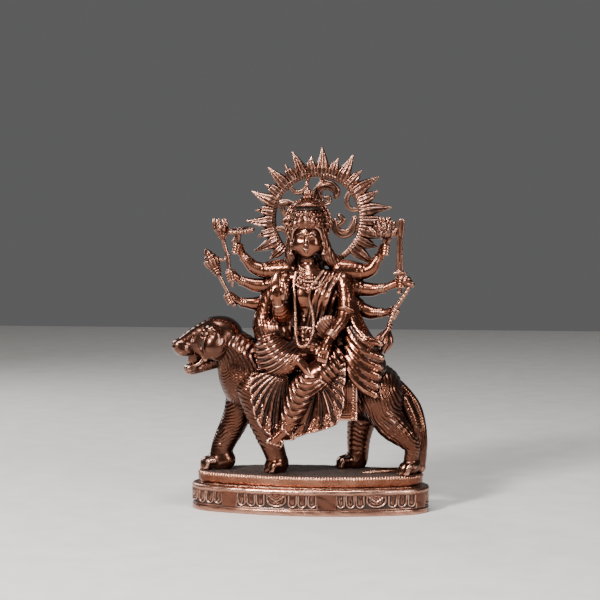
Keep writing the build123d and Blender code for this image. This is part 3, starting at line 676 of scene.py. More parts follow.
def saddle_cloth():
    def arch(p):
        return np.hypot(p[:, 1] - LION_AXIS_Y, np.maximum(p[:, 2] - SADDLE_SPRING, 0)) - SADDLE_RADIUS

    def field(p):
        x, _, z = p.T
        down = np.where(z > SADDLE_SPRING, SADDLE_SPRING - SADDLE_RADIUS * np.arcsin(
            np.clip((z - SADDLE_SPRING) / SADDLE_RADIUS, 0, 1)), z)
        ribs = ridges(x, 1.75, 0.45, 0.7) * band(x, -60, 29.4, 0.2) * step_up(down, 66, 66.6)
        hem = ridges(down, 1.6, 0.4) * (1 - step_up(down, 66, 66.6))
        beads = ridges(down, 1.9, 0.6) * band(x, 29.8, 31.4, 0.3) + 0.5 * step_up(x, 31.8, 32.2)
        wall = arch(p) + 0.5 * wobble(p, 9)
        thick = 2.6 + 5.0 * step_up(z, 84, 93)
        skin = smooth_max(wall - ribs - hem - beads, -wall - thick, 0.4)
        ends = np.maximum(np.maximum(SADDLE_FRONT - x, x - SADDLE_REAR), SADDLE_HEM - z)
        return smooth_max(skin, ends, 0.5)

    low = (SADDLE_FRONT, LION_AXIS_Y - SADDLE_RADIUS - 1.5, SADDLE_HEM)
    high = (SADDLE_REAR, LION_AXIS_Y + SADDLE_RADIUS + 1.5, SADDLE_SPRING + SADDLE_RADIUS + 1.5)
    return Form(field, low, high)


# ---------------------------------------------------------------- goddess
HEAD = np.array([-1.3, -2.0, 177.0])
SPINE = 2.4


def torso():
    body = join(
        egg((3, 1, 101), (21, 13.5, 12)),
        egg((SPINE, 1, 118), (12.5, 9.5, 13)),
        egg((2.2, 0.5, 138), (14.5, 9.6, 16)),
        limb((-16, 0.5, 150.5, 5.4), (2, 0.5, 152, 6.6), (20.5, 0.5, 150.5, 5.6)),
        limb((1.4, 0.5, 152, 6.4), (-0.8, 0, 163, 4.6)),
        k=6,
    )
    drape = join(
        limb((-15, 3, 151, 6.0), (-25, 3.4, 141, 6.6), (-29, 3, 130, 7.2), (-30.5, 1, 119, 7.6),
             (-26, -1, 108, 7.6)),
        egg((-13, 2, 132), (8, 6, 19)),
        egg((-21, 0, 116), (11, 8, 10)),
        egg((17.5, 2, 134), (8, 6, 17)),
        egg((19, -1, 110), (9, 10, 10)),
        k=3,
    )
    drape = raised(drape,
                   lambda p: ridges(0.9 * p[:, 0] + 0.34 * p[:, 2] + 0.5 * np.sin(p[:, 2] / 3), 2.3, 0.16))
    body = join(body, drape, k=2.5)
    bust = join(egg((-4.6, -5.4, 140.5), (6.6, 5.4, 6.6)), egg((9.4, -5.4, 140.5), (6.8, 5.6, 7.0)), k=5)
    body = join(body, bust, k=5)

    def relief(p):
        x, y, z = p.T
        front = 1 - step_up(y, -3, 2)
        slant = 0.93 * x - 0.36 * (z - 140) + 0.9 * np.sin(z / 7)
        sari = ridges(slant, 4.4, 0.9, 0.8) * step_up(slant, 2.0, 3.4) * band(z, 119, 160, 3)
        blouse = chasing(x, z, 2.6, 0.16) * (1 - step_up(slant, 2.0, 3.4)) * band(z, 120, 136, 2)
        lap = ridges(z + 0.02 * (x - SPINE) ** 2, 3.2, 0.24) * (1 - step_up(z, 113, 117))
        back = ridges(slant, 4.4, 0.5) * step_up(y, 0, 4) * (1 - step_up(z, 150, 156))
        return front * (sari + blouse) + lap + back

    return raised(body, relief)


def face_half(side):
    """One side's brow, eye and cheek, from the centre of the head."""
    at = lambda x, y, z, r: (HEAD[0] + side * x, HEAD[1] + y, HEAD[2] + z, r)
    parts = [
        limb(at(1.5, -8.9, 3.6, 0.45), at(3.6, -9.0, 4.7, 0.5), at(6.2, -7.6, 3.6, 0.4)),
        limb(at(1.7, -8.3, 1.9, 0.3), at(3.6, -8.9, 2.7, 0.36), at(5.8, -7.4, 1.9, 0.3)),
        limb(at(1.8, -8.2, 1.4, 0.25), at(3.6, -8.4, 0.9, 0.3), at(5.6, -7.2, 1.6, 0.25)),
        limb(at(0.9, -9.4, -3.4, 0.75), at(0.5, -9.2, -3.3, 0.8)),
        limb(at(2.2, -7.7, -6.3, 0.3), at(0.4, -8.9, -6.1, 0.62)),
        limb(at(2.0, -7.6, -6.6, 0.3), at(0.3, -8.5, -7.3, 0.75)),
    ]
    cheek = egg(at(4.8, -4.7, -3.6, 0)[:3], (3.7, 3.0, 4.0))
    eye = egg(at(3.8, -7.1, 1.6, 0)[:3], (2.3, 1.6, 1.2))
    socket = egg(at(3.8, -10.3, 1.5, 0)[:3], (2.7, 1.4, 1.8))
    return parts, cheek, eye, socket


def head():
    x, y, z = HEAD
    skull = join(
        egg((x, y, z + 3), (9.8, 9.0, 9.5)),
        egg((x, y - 1.6, z - 3.2), (8.9, 6.8, 8.2)),
        egg((x, y - 5.2, z - 9.0), (3.6, 2.6, 2.4)),
        k=3,
    )
    neck = limb((x - 0.2, y + 2, z - 8, 5.4), (x - 0.2, y + 2.4, z - 17, 5.6))
    halves = [face_half(side) for side in (-1, 1)]
    skull = join(skull, *[half[1] for half in halves], k=4)
    skull = cut(skull, *[half[3] for half in halves], k=2.2)
    nose = limb((x, y - 8.2, z + 3, 0.75), (x, y - 9.0, z - 0.4, 0.85), (x, y - 9.9, z - 3.0, 1.15))
    gem = egg((x, y - 9.3, z + 6), (0.8, 0.6, 1.2))
    details = [part for half in halves for part in half[0]]
    face = join(join(skull, *[half[2] for half in halves], k=0.4), nose, k=1.1)
    face = join(face, *details, gem, k=0.5)
    throat = raised(neck, lambda p: ridges(p[:, 2], 2.6, 0.3))
    return join(face, throat, k=2)


def hair():
    x, y, z = HEAD
    parts = [
        egg((x, y + 3, z + 6), (10.4, 8.2, 9)),
        limb((x - 9.4, y - 0.6, z + 6, 2.8), (x - 10.4, y + 0.4, z - 2, 3.2),
             (x - 11.2, y + 2.4, z - 11, 4.0), (x - 13.5, y + 7, z - 20, 3.6)),
        limb((x + 9.4, y - 0.6, z + 6, 2.8), (x + 10.8, y + 0.4, z - 2, 3.4),
             (x + 13.2, y + 2.4, z - 11, 4.8),
             (x + 19.5, y + 6.6, z - 18, 4.6), (x + 23, y + 7, z - 27, 4.0)),
        limb((x, y + 8, z + 2, 8.4), (x, y + 9, z - 10, 8.6), (x + 1, y + 10, z - 22, 7.2)),
    ]
    mass = join(*parts, k=3)
    front = limb((x - 9.8, y - 3.0, z + 0, 0.8), (x - 8.4, y - 5.6, z + 6.2, 0.9),
                 (x - 3.6, y - 8.2, z + 9.4, 0.9), (x, y - 8.9, z + 9.8, 0.9),
                 (x + 3.6, y - 8.2, z + 9.4, 0.9), (x + 8.4, y - 5.6, z + 6.2, 0.9),
                 (x + 9.8, y - 3.0, z + 0, 0.8))

    def waves(p):
        across = p[:, 0] - x + 0.7 * np.sin(p[:, 2] / 2.6)
        strands = ridges(across + 0.16 * (p[:, 2] - z), 2.0, 0.32)
        return strands + 0.15 * wobble(p, 3)

    return join(raised(mass, waves), front, k=0.6)


def crown():
    x, y, z = HEAD
    bowl = turned((x, y + 0.4, z + 7), (x, y + 0.4, z + 27), [
        (0, 9.6), (0.12, 10.6), (0.3, 10.4), (0.52, 9.4), (0.64, 7.4), (0.71, 7.4), (0.735, 9.8),
        (0.79, 10.4), (0.84, 9.4), (0.92, 6.4), (1, 3.4),
    ])
    peak = join(
        egg((x, y - 9.6, z + 12.5), (3.0, 1.5, 4.2)),
        egg((x, y - 9.9, z + 17.4), (1.5, 1.2, 2.0)),
        *[egg((x + side * 4.2, y - 8.9, z + 11.2), (1.9, 1.3, 2.6)) for side in (-1, 1)],
        *[egg((x + side * 7.4, y - 6.8, z + 10.4), (1.6, 1.3, 2.2)) for side in (-1, 1)],
        k=0.6,
    )
    gems = [egg((x, y - 11.0, z + 12.4), (1.3, 0.7, 1.8)), egg((x, y - 9.9, z + 8.6), (0.9, 0.7, 1.1))]

    def jewels(p):
        around = np.arctan2(p[:, 0] - x, y - p[:, 1]) * 9.5
        up = p[:, 2] - z
        beads = ridges(around, 1.7, 0.5) * ridges(up - 8.4, 2.4) * band(up, 7.3, 9.6, 0.2)
        return (
            beads + chasing(around, up, 3.0, 0.5) * band(up, 9.8, 19, 0.3)
            + ridges(up, 1.5, 0.25) * (up > 21)
        )

    return join(raised(bowl, jewels), peak, *gems, k=0.5)


def crown_finial():
    x, y, z = HEAD
    foot = z + 26.4
    knob = turned((x, y + 0.4, foot), (x - 0.8, y + 0.4, foot + 12), [
        (0, 3.2), (0.06, 4.1), (0.14, 4.1), (0.2, 3.0), (0.26, 3.3), (0.42, 2.9), (0.58, 1.5), (0.66, 0.9),
        (0.74, 1.5), (0.82, 1.5), (0.9, 0.8), (1, 0.6),
    ])
    petals = (
        lambda p: spokes(np.arctan2(p[:, 0] - x, p[:, 1] - y), 3, 10, 0.35)
        * (p[:, 2] < foot + 6)
    )
    stay = limb((x - 0.6, y + 1, foot + 10.5, 1.1), (x - 0.6, 9.5, 218.2, 1.2))
    return join(raised(knob, petals), stay, k=0.8)


def crown_rosette():
    x, y, z = HEAD[0] - 0.8, HEAD[1] + 8.0, HEAD[2] + 11.4
    outer = 15.0
    plate = drum((x, y, z), (0, 1, 0), outer, 1.3, 0.6)
    beads = [
        egg((x + outer * math.sin(turn), y - 0.6, z + outer * math.cos(turn)), (1.25, 1.25, 1.25))
        for turn in np.arange(36) * TAU / 36
    ]

    def petals(p):
        reach = np.hypot(p[:, 0] - x, p[:, 2] - z)
        turn = np.arctan2(p[:, 0] - x, p[:, 2] - z)
        leaf = np.abs(np.cos(9 * turn)) * band(reach, 8.4, 13.6, 0.6)
        return (
            0.9 * leaf + 0.5 * band(reach, 6.6, 7.8, 0.3)
            + ridges(turn * outer, 1.3, 0.3) * band(reach, 9, 13, 0.4)
        )

    curl = hoop((x - 14.2, y - 1.4, z + 0.4), (0, 1, 0), 1.9, 0.8)
    return join(raised(plate, petals), *beads, curl, k=0.4)


def earrings():
    x, y, z = HEAD
    drops = []
    for side in (-1, 1):
        bell = turned((x + side * 10.9, y - 2.2, z - 10.4), (x + side * 10.5, y - 1.6, z - 4.2), [
            (0, 0.6), (0.08, 2.0), (0.2, 2.4), (0.45, 1.8), (0.7, 1.0), (1, 0.6),
        ])
        drops.append(join(bell, egg((x + side * 10.3, y - 2.6, z - 2.6), (1.7, 1.2, 1.7)), k=0.6))
    return join(*drops, k=0.1)


def necklace():
    """Seven strings of beads from the throat to the collar, with drops and a pendant."""
    parts = []
    for drop, radius, tube in ((-3.0, 6.3, 0.6), (-1.2, 6.4, 0.7), (0.4, 7.0, 0.7), (1.9, 7.8, 0.7),
                               (3.4, 8.6, 0.75), (5.0, 9.7, 0.8), (6.6, 10.6, 0.8)):
        centre = np.array([-0.6 + 0.15 * drop, -1.4 - 0.30 * drop, 158.6 - drop])
        strand = hoop(centre, (0, -0.62, 0.78), radius, tube)
        beads = lambda p, c=centre, r=radius: ridges(np.arctan2(p[:, 0] - c[0], c[1] - p[:, 1]) * r, 1.7,
                                                     0.4)
        parts.append(raised(strand, beads))
    drops = [
        egg((0.2 + 2.5 * i, -11.4 + 0.12 * i * i, 147.4 + 0.55 * i * i), (1.15, 0.9, 1.5))
        for i in (-2, -1, 0, 1, 2)
    ]
    pendant = join(egg((0.2, -12.2, 144.6), (2.1, 1.1, 2.3)), egg((0.2, -12.9, 144.6), (0.9, 0.8, 1.0)),
                   k=0.3)
    return join(*parts, *drops, pendant, k=0.5)


def garland():
    """A long chain: down both sides of the chest, with a loop on the lap and a tassel."""
    line = (
        (-8.4, -7.4, 156, 1.05), (-9.4, -9.6, 149, 1.05), (-8.8, -11.8, 140, 1.1), (-8.2, -11.4, 127, 1.1),
        (-7.6, -15, 117, 1.2), (-5.4, -21.6, 110.4, 1.3), (-2.6, -23, 108.6, 1.3), (1.2, -22, 110.4, 1.3),
        (3.6, -15, 117, 1.2), (3.4, -11.4, 127, 1.15), (0.8, -12, 140, 1.1), (2.4, -11.2, 147, 1.1),
        (9.6, -7.4, 157, 1.05),
    )
    strand = limb(*line, count=5)
    place = chain_field(curve(line, 5))

    def links(p):
        _, along = place(p, place=True)
        return ridges(along, 1.8, 0.28) * (p[:, 2] < 134) - 0.12

    tassel = [egg((-2.4 + 0.3 * math.sin(i), -13.6 - 0.75 * i, 128 - 2.6 * i), (1.15, 1.0, 1.25))
              for i in range(7)]
    return join(raised(strand, links), *tassel, k=0.5)


def belt():
    ring = turned((SPINE, 1, 114.6), (SPINE, 1, 121),
                  [(0, 14.2), (0.15, 14.9), (0.5, 14.4), (0.85, 13.9), (1, 13.2)])
    squash = np.array([1, 1.22, 1], np.float32)
    oval = Form(lambda p: ring.field((p - (0, 1, 0)) * squash + (0, 1, 0)) * 0.85, ring.low, ring.high)
    hollow = turned((SPINE, 1, 112), (SPINE, 1, 123), [(0, 11.2), (1, 10.6)])

    def links(p):
        around = np.arctan2(p[:, 0] - SPINE, 1 - p[:, 1]) * 14
        up = p[:, 2]
        middle = chasing(around, up, 3.2, 0.6) * band(up, 115.8, 119.8, 0.2)
        return (
            middle + ridges(around, 1.4, 0.35) * (band(up, 114.4, 115.6, 0.2) + band(up, 120, 121.2, 0.2))
        )

    panel = egg((13.0, -9.6, 120.5), (8.2, 2.2, 7.6), (0, -24, 14))
    panel = raised(panel, lambda p: ridges(np.hypot(p[:, 0] - 17, p[:, 2] - 127), 1.9, 0.4))
    buckle = egg((-2.2, -12.4, 118), (2.4, 1.2, 2.4))
    return join(cut(raised(oval, links), hollow, k=0.3), panel, buckle, k=0.5)


def folded_leg():
    leg = join(
        limb((6, -4, 100, 7.6), (-10, -9, 101, 8.6), (-23, -13.5, 104, 9.2)),
        limb((-24.6, -15.5, 105.6, 9.8), (-20, -19, 100.6, 9.0), (-12.4, -22.4, 98.6, 7.0),
             (-5.4, -25, 100.6, 3.9)),
        limb((-25, -17, 97, 5.4), (-18.5, -20.5, 94.2, 4.8), (-11.5, -23, 95.4, 4.0)),
        k=4,
    )

    def folds(p):
        x, y, z = p.T
        sweep = z - 0.021 * np.maximum(x + 34, 0) ** 2
        hem = (1 - step_up(sweep, 87.6, 88.2)) * step_up(x, -27, -25)
        rim = 0.5 * band(sweep, 87.2, 88.0, 0.15)
        tucks = ridges(sweep, 3.9, 1.05, 0.7) * step_up(sweep, 88.2, 90) * (1 - step_up(y, -9, -4))
        cloth = 1 - step_up(x, -6.6, -5.2)
        return (tucks + rim + hem * chasing(x, z, 2.4, 0.35)) * cloth

    cloth = raised(leg, folds, 1.6)
    foot = join(
        limb((-6, -25, 100.6, 3.7), (-2.6, -26.2, 98.6, 3.3), (0.6, -27.4, 95.0, 3.0),
             (2.6, -28.0, 91.8, 2.4)),
        egg((-3.8, -28.2, 99.4), (1.5, 1.2, 1.6)),
        k=1.5,
    )
    toes = [
        limb((1.4 + 1.2 * i, -28.4 + 0.2 * i, 92.0 + 0.5 * i, 1.1),
             (1.6 + 1.35 * i, -28.8 + 0.3 * i, 89.2 + 0.85 * i, 1.0 - 0.06 * i))
        for i in range(4)
    ]
    anklet = hoop((-5.2, -25.4, 100.4), (0.78, -0.3, -0.5), 4.0, 0.7)
    return join(cloth, join(foot, *toes, k=0.35), anklet, k=0.6)


KNEE, ANKLE = np.array([2.0, -22.0, 89.0]), np.array([-12.6, -25.0, 55.0])


def hanging_leg():
    leg = join(
        limb((12, -5, 104, 8.8), (17, -12, 100, 9.4), (14.6, -17.6, 95.4, 9.0), (8, -20.4, 91, 8.8)),
        limb((8, -20.4, 90, 8.8), (-0.6, -22.6, 84, 8.4), (-4.6, -23.6, 75, 7.6), (-9.2, -24.6, 65, 6.2),
             (-12.2, -25, 57.4, 5.4)),
        k=3,
    )
    run = unit(ANKLE - KNEE)
    across = np.array([-run[2], 0, run[0]])

    def folds(p):
        q = p - KNEE.astype(np.float32)
        along, side = q @ run, q @ across + 1.4
        sag = along + 0.10 * side * side - 0.25 * side
        shin = ridges(sag, 4.8, 0.8, 0.7) + ridges(sag + 0.9, 2.4, 0.22)
        shin *= band(along, -2, 31.5, 1.5)
        hem = band(along, 32.4, 39, 0.4) * chasing(p[:, 0], p[:, 2], 2.6, 0.45)
        thigh = (
            ridges(0.55 * q[:, 0] + 0.83 * q[:, 2] + 0.02 * q[:, 0] ** 2, 5.4, 0.6) * step_up(q[:, 0], 5, 9)
        )
        return shin + hem + thigh * (1 - step_up(p[:, 1], -8, -3))

    cloth = raised(leg, folds, 1.4)
    foot = join(
        limb((-13, -25.6, 55.4, 4.3), (-16.4, -26.6, 52.2, 3.7), (-19.6, -27.8, 49.4, 2.8)),
        *[limb((-22.4 + 1.9 * i, -28.4, 49.6 - 0.5 * i, 1.25),
               (-24.0 + 2.15 * i, -29.2, 47.8 - 0.7 * i, 1.2 - 0.07 * i)) for i in range(5)],
        k=0.7,
    )
    anklet = hoop((-13.6, -25.6, 54.4), (-0.6, -0.2, -0.77), 4.7, 0.8)
    return join(cloth, foot, anklet, k=0.8)


def skirt_fan(apex, border, pleats, front_y, skew):
    """Pleated cloth that spreads from an apex; border rows are (angle in degrees, reach)."""
    angles, reaches = np.radians(np.array(border, float)).T[0], np.array(border, float).T[1]
    first, last = angles[0], angles[-1]
    pitch = (last - first) / pleats

    def field(p):
        x, y, z = p[:, 0] - apex[0], p[:, 1], p[:, 2] - apex[1]
        reach = np.hypot(x, z)
        angle = np.arctan2(z, x) % TAU
        angle = np.where(angle < math.pi * 0.7, angle + TAU, angle)
        limit = np.interp(angle, angles, reaches)
        curved = angle + skew * (1 - reach / np.maximum(limit, 1))
        wave = np.abs(np.cos(np.pi * (curved - first) / pitch))
        open_up = np.clip(reach / 24, 0.1, 1)
        hem = step_up(reach - limit, -8.2, -7.8)
        rim = (
            band(reach - limit, -8.6, -7.8, 0.12) + band(reach - limit, -7.0, -6.4, 0.12)
            + band(reach - limit, -1.4, -0.2, 0.2)
        )
        height = open_up * (2.8 * np.sqrt(np.clip(wave, 0, 1)) - 1.0) + 0.35 * rim
        height += 0.45 * hem * chasing(angle * 34, reach, 2.5, 1.0)
        front = (front_y - height - 0.06 * reach) - y
        back = y - (front_y + 3.2)
        edge = np.maximum(reach - limit, np.maximum(first - angle, angle - last) * reach)
        return smooth_max(np.maximum(front * 0.72, back), edge * 0.8, 0.8)

    reach = reaches.max() + 1
    low = (apex[0] - reach, front_y - 6.5, apex[1] - reach)
    high = (apex[0] + reach, front_y + 3.4, apex[1] + 10)
    return Form(field, low, high)


def skirt_fan_right():
    return skirt_fan(
        (-12, 94), [(187, 24), (201, 26), (213, 29), (227, 33.5), (244, 41), (262, 46), (276, 46)], 8,
        -21.0, 0.36
    )


def skirt_fan_left():
    return skirt_fan(
        (6.4, 88.5),
        [(248, 42.4), (262, 36.2), (278, 33.8), (294, 32.8), (314, 26), (340, 19), (372, 20), (390, 22)], 8,
        -20.8, -0.22
    )


def shawl():
    """Cloth that falls from the left shoulder over the lion's back in broad smooth folds."""
    rim = limb((19.6, -5, 152.6, 1.7), (25.4, -4.5, 142, 1.9), (27.4, -7, 129, 2.1),
               (31.8, -10, 119.6, 2.3), (38.5, -13, 113.2, 2.5), (46.6, -13, 110.6, 2.4))
    folds = []
    for share in np.arange(5) / 4:
        top, out = 119.5 - 23.5 * share, 47.4 - 3.2 * share
        folds.append(
            limb((25.6, -11 - 7.6 * share, top, 1.9), (30.6, -14.8 - 5.8 * share, top - 7.4, 2.6),
                 (38, -16.8 - 4.4 * share, top - 14.2, 3.0), (out, -15.4 - 5.2 * share, top - 17.8, 2.6))
        )
    bed = join(
        limb((24.6, -1, 150, 3.6), (26.4, -2, 138, 4.0), (30, -4, 122, 6.2), (36, -7, 108, 8.4)),
        limb((36, -8, 106, 8.6), (42, -9, 96, 8.6), (42, -12, 89, 7.4)),
        limb((29, -14, 98, 5.4), (40, -15, 92, 5.8)),
        k=4,
    )

    def embroidery(p):
        along = 0.75 * p[:, 0] - 0.66 * p[:, 2]
        end = step_up(p[:, 0] + 0.1 * (p[:, 2] - 95), 40.4, 40.8) * (p[:, 2] < 112)
        border = band(p[:, 2], 112, 150, 2) * (p[:, 1] < 0)
        return (
            end * (0.12 + chasing(along, p[:, 1] + p[:, 2], 2.8, 0.14))
            + border * chasing(p[:, 0], p[:, 2], 2.6, 0.14)
        )

    return raised(join(join(rim, *folds, k=1.6), bed, k=2.0), embroidery)


# ---------------------------------------------------------------- arms
# Each rear arm: shoulder, elbow, wrist, fist, and the way its fist's grip runs.
REAR_ARMS = {
    "arm_right_upper": ((-14, 5, 157), (-35.6, 5, 156.2), (-44.8, 3.6, 166), (-47.6, 3, 170.6),
                        (0.2, 0, 1)),
    "arm_right_middle": ((-14, 5, 149), (-34.2, 5, 145.8), (-46.6, 2.4, 150), (-51.8, 2, 153.2),
                         (-0.25, 0, 1)),
    "arm_right_lower": ((-13, 5, 142), (-34.0, 5, 134), (-46.0, 1.4, 135.6), (-52.4, 1, 138.4),
                        (-0.45, 0, 0.9)),
    "arm_left_upper": ((19, 5, 157), (38.4, 5, 155.4), (44.8, 3.6, 165.6), (48.2, 3, 170.6), (0.1, 0, 1)),
    "arm_left_middle": ((19, 5, 149), (37.2, 5, 143.8), (49.0, 1.6, 145.6), (58.6, 1, 149.4), (0.05, 0, 1)),
    "arm_left_lower": ((18, 5, 141), (36.6, 5, 129.2), (47.7, 1.4, 129.3), (54.4, 0, 130), (0.5, 0, 0.85)),
}


def toward(a, b, share):
    return np.array(a, float) + (np.array(b, float) - np.array(a, float)) * share


def fist(place, wrist, grip):
    """A hand closed round a shaft: fingers curl round the grip's direction on the near side."""
    place, grip = np.array(place, float), unit(np.array(grip, float))
    out = place - np.array(wrist, float)
    out = unit(out - grip * (out @ grip))
    near = np.array([0, -1.0, 0])
    parts = [limb((*wrist, 2.2), (*(place - 0.6 * out), 3.0), (*place, 2.8))]
    fingers = []
    for row in (-1.5, -0.5, 0.5, 1.5):
        start = place + grip * row * 1.75 - out * 1.6 + near * 1.5
        fingers.append(
            limb((*start, 1.2), (*(start + near * 1.5 + out * 2.0), 1.15),
                 (*(start + near * 1.0 + out * 4.2), 1.1), (*(start - near * 1.0 + out * 4.6), 0.9))
        )
    thumb = limb((*(place - out * 1.8 + grip * 2.4 + near), 1.2),
                 (*(place + out * 1.6 + grip * 3.8 + near * 2.2), 1.05))
    return join(join(*parts, k=1), *fingers, thumb, k=0.35)


def rear_arm(name):
    shoulder, elbow, wrist, hand, grip = REAR_ARMS[name]
    bend = toward(toward(shoulder, elbow, 0.8), toward(elbow, wrist, 0.2), 0.5)
    flesh = limb(
        (*toward(shoulder, elbow, 0.5), 4.4), (*toward(shoulder, elbow, 0.8), 4.8), (*bend, 4.8),
        (*toward(elbow, wrist, 0.28), 4.4), (*toward(elbow, wrist, 0.65), 3.5), (*wrist, 2.4),
    )
    run = unit(toward(elbow, shoulder, 1) - np.array(elbow, float))
    cuff = toward(shoulder, elbow, 0.72)
    sleeve = limb((*shoulder, 7.4), (*toward(shoulder, elbow, 0.4), 6.8),
                  (*toward(shoulder, elbow, 0.66), 5.8))
    curls = lambda p: chasing(p[:, 0] + 0.5 * p[:, 1], p[:, 2] + 0.5 * p[:, 1], 3.4, 0.13)
    sleeve = join(raised(sleeve, curls), hoop(cuff, run, 5.1, 0.8), k=0.4)
    return join(flesh, sleeve, fist(hand, wrist, grip), k=0.7)


BLESSING_ELBOW, BLESSING_WRIST = (-17.0, -8.0, 128.6), (-18.6, -18.4, 136.8)
RESTING_ELBOW, RESTING_WRIST = (22.6, -10, 126.6), (14.8, -20, 114.6)


def arm_blessing():
    """Forearm raised, palm towards the onlooker."""
    arm = limb((-16.4, 0, 150, 5.4), (-17.6, -3, 138, 6.0), (*BLESSING_ELBOW, 6.6),
               (-17.8, -13, 131.4, 5.6), (*BLESSING_WRIST, 3.2))
    sleeve = raised(limb((-16.2, -1, 150.5, 5.8), (-17.2, -5, 140.5, 6.2)),
                    lambda p: chasing(p[:, 0], p[:, 2], 3.2, 0.14))
    palm = join(
        egg((-18.6, -20.4, 142.4), (4.4, 2.5, 5.4), (8, 0, 4)),
        egg((-15.4, -21.4, 142.0), (1.7, 1.8, 3.8), (0, -10, 0)),
        egg((-21.8, -21.2, 142.4), (1.6, 1.7, 3.8), (0, 12, 0)),
        k=1.2,
    )
    palm = cut(palm, egg((-18.6, -24.0, 144.6), (2.4, 1.7, 4.6)), k=1.6)
    fingers = [
        limb((x, -20.4, 146, 1.35), (x + 0.1 * (x + 19.6), -20.0, 146 + 0.56 * size, 1.3),
             (x - 0.2 * (x + 19.6), -19.2, 146 + size, 0.95))
        for x, size in ((-21.9, 7.0), (-20.6, 8.8), (-19.2, 9.4), (-17.8, 8.2))
    ]
    thumb = limb((-15.0, -21.4, 142, 1.6), (-13.8, -21.8, 145.6, 1.4), (-13.9, -21.4, 149.0, 1.05))
    return join(join(arm, sleeve, k=0.8), join(palm, *fingers, thumb, k=0.9), k=1.4)


def arm_resting():
    """Arm hanging down with the hand laid on the knee."""
    arm = limb((22.4, -1, 149, 5.0), (23.6, -5, 138, 4.8), (*RESTING_ELBOW, 4.6), (19.6, -14.6, 121, 4.0),
               (*RESTING_WRIST, 2.8))
    sleeve = limb((22, -1, 150, 5.8), (24, -4.6, 141, 5.8), (24.2, -7.6, 132.6, 5.4))
    sleeve = raised(sleeve, lambda p: chasing(p[:, 0], p[:, 2], 3.2, 0.14) * band(p[:, 2], 129, 152))
    cuff = hoop((24.0, -8.0, 131.4), (0.1, 0.45, 0.9), 5.2, 0.8)
    hand = join(
        limb((14.6, -20.4, 113.6, 2.8), (13.2, -23.2, 110.2, 3.7), (12.2, -25.4, 107, 3.4)),
        *[
            limb((10.2 + 1.5 * i, -26.4, 106.6 - 0.3 * i, 1.2),
                 (9.2 + 1.5 * i, -28.0, 103.2 - 0.45 * i, 1.15),
                 (8.6 + 1.55 * i, -28.2, 100.8 - 0.5 * i, 0.9))
            for i in range(4)
        ],
        limb((10.2, -23.6, 110.4, 1.3), (7.9, -25.4, 107.4, 1.15), (7.2, -26.4, 105, 0.95)),
        k=0.5,
    )
    return join(arm, join(sleeve, cuff, k=0.4), hand, k=0.8)


def rings_on(start, end, radius, tube, offsets):
    axis = unit(np.array(end, float) - np.array(start, float))
    return [hoop(np.array(end, float) - axis * offset, axis, radius, tube) for offset in offsets]


def bangles():
    parts = []
    for _, elbow, wrist, _, _ in REAR_ARMS.values():
        parts += rings_on(elbow, wrist, 2.9, 0.62, (0.2, 1.5, 2.8))
    parts += rings_on(BLESSING_ELBOW, BLESSING_WRIST, 3.2, 0.8, (0.4, 2.2))
    parts += rings_on(RESTING_ELBOW, RESTING_WRIST, 3.4, 0.62, (0.3, 1.6, 2.9, 4.2))
    return join(*parts, k=0.25)


def armlets():
    parts = []
    for shoulder, elbow, _, _, _ in REAR_ARMS.values():
        near = toward(shoulder, elbow, 0.55) + np.array([0, -5.2, 0])
        parts.append(join(*rings_on(shoulder, toward(shoulder, elbow, 0.55), 4.9, 0.8, (0, 1.6)),
                          egg(near, (1.9, 1.2, 1.9)), k=0.5))
    return join(*parts, k=0.1)


# ---------------------------------------------------------------- things held
def chakra():
    x, y, z = -46.2, 3.0, 182.6
    axis = (-0.08, -0.12, 1)
    disc = join(drum((x, y, z), axis, 7.4, 0.7, 0.4), hoop((x, y, z), axis, 7.5, 1.15),
                egg((x, y, z), (2.2, 2.2, 1.9)), k=0.5)
    teeth = lambda p: spokes(np.arctan2(p[:, 1] - y, p[:, 0] - x), 8, 30, 0.55)
    stem = limb((-47.9, 3, 171, 1.5), (-47.6, 3, 176.4, 1.3), (-47.4, 3, z - 1, 1.9))
    finger = limb((-50.4, 2.4, 171.6, 1.0), (-51.2, 2.6, 175.4, 0.95), (-49.6, 2.8, 178.6, 0.8))
    return join(raised(disc, teeth), stem, finger, k=0.7)


def flower_staff():
    staff = limb((-51.4, 2, 146.5, 1.1), (-53.6, 2, 156, 1.25), (-54.7, 2, 165, 1.25),
                 (-57.2, 2, 174, 1.35), (-58.2, 2, 178.4, 1.6))
    bell = turned((-58.2, 2, 177.8), (-59.4, 2, 185.4),
                  [(0, 1.7), (0.16, 2.5), (0.3, 2.3), (0.7, 4.0), (0.86, 4.7), (1, 4.4)])
    ribs = lambda p: spokes(np.arctan2(p[:, 0] + 58.8, 2 - p[:, 1]), 4, 9, 0.5)
    tips = []
    for turn in np.arange(7) * TAU / 7:
        dx, dy = 3.9 * math.cos(turn), 3.9 * math.sin(turn)
        tips.append(limb((-59.2 + dx, 2 + dy, 183.4, 1.15), (-59.9 + 1.15 * dx, 2 + 1.15 * dy, 187.4, 0.95),
                         (-60.3 + 1.1 * dx, 2 + 1.1 * dy, 190.4, 0.45)))
    scroll = hoop((-57.0, 1, 179.6), (0, 1, 0), 1.5, 0.6)
    return join(raised(bell, ribs), staff, scroll, *tips, k=0.6)


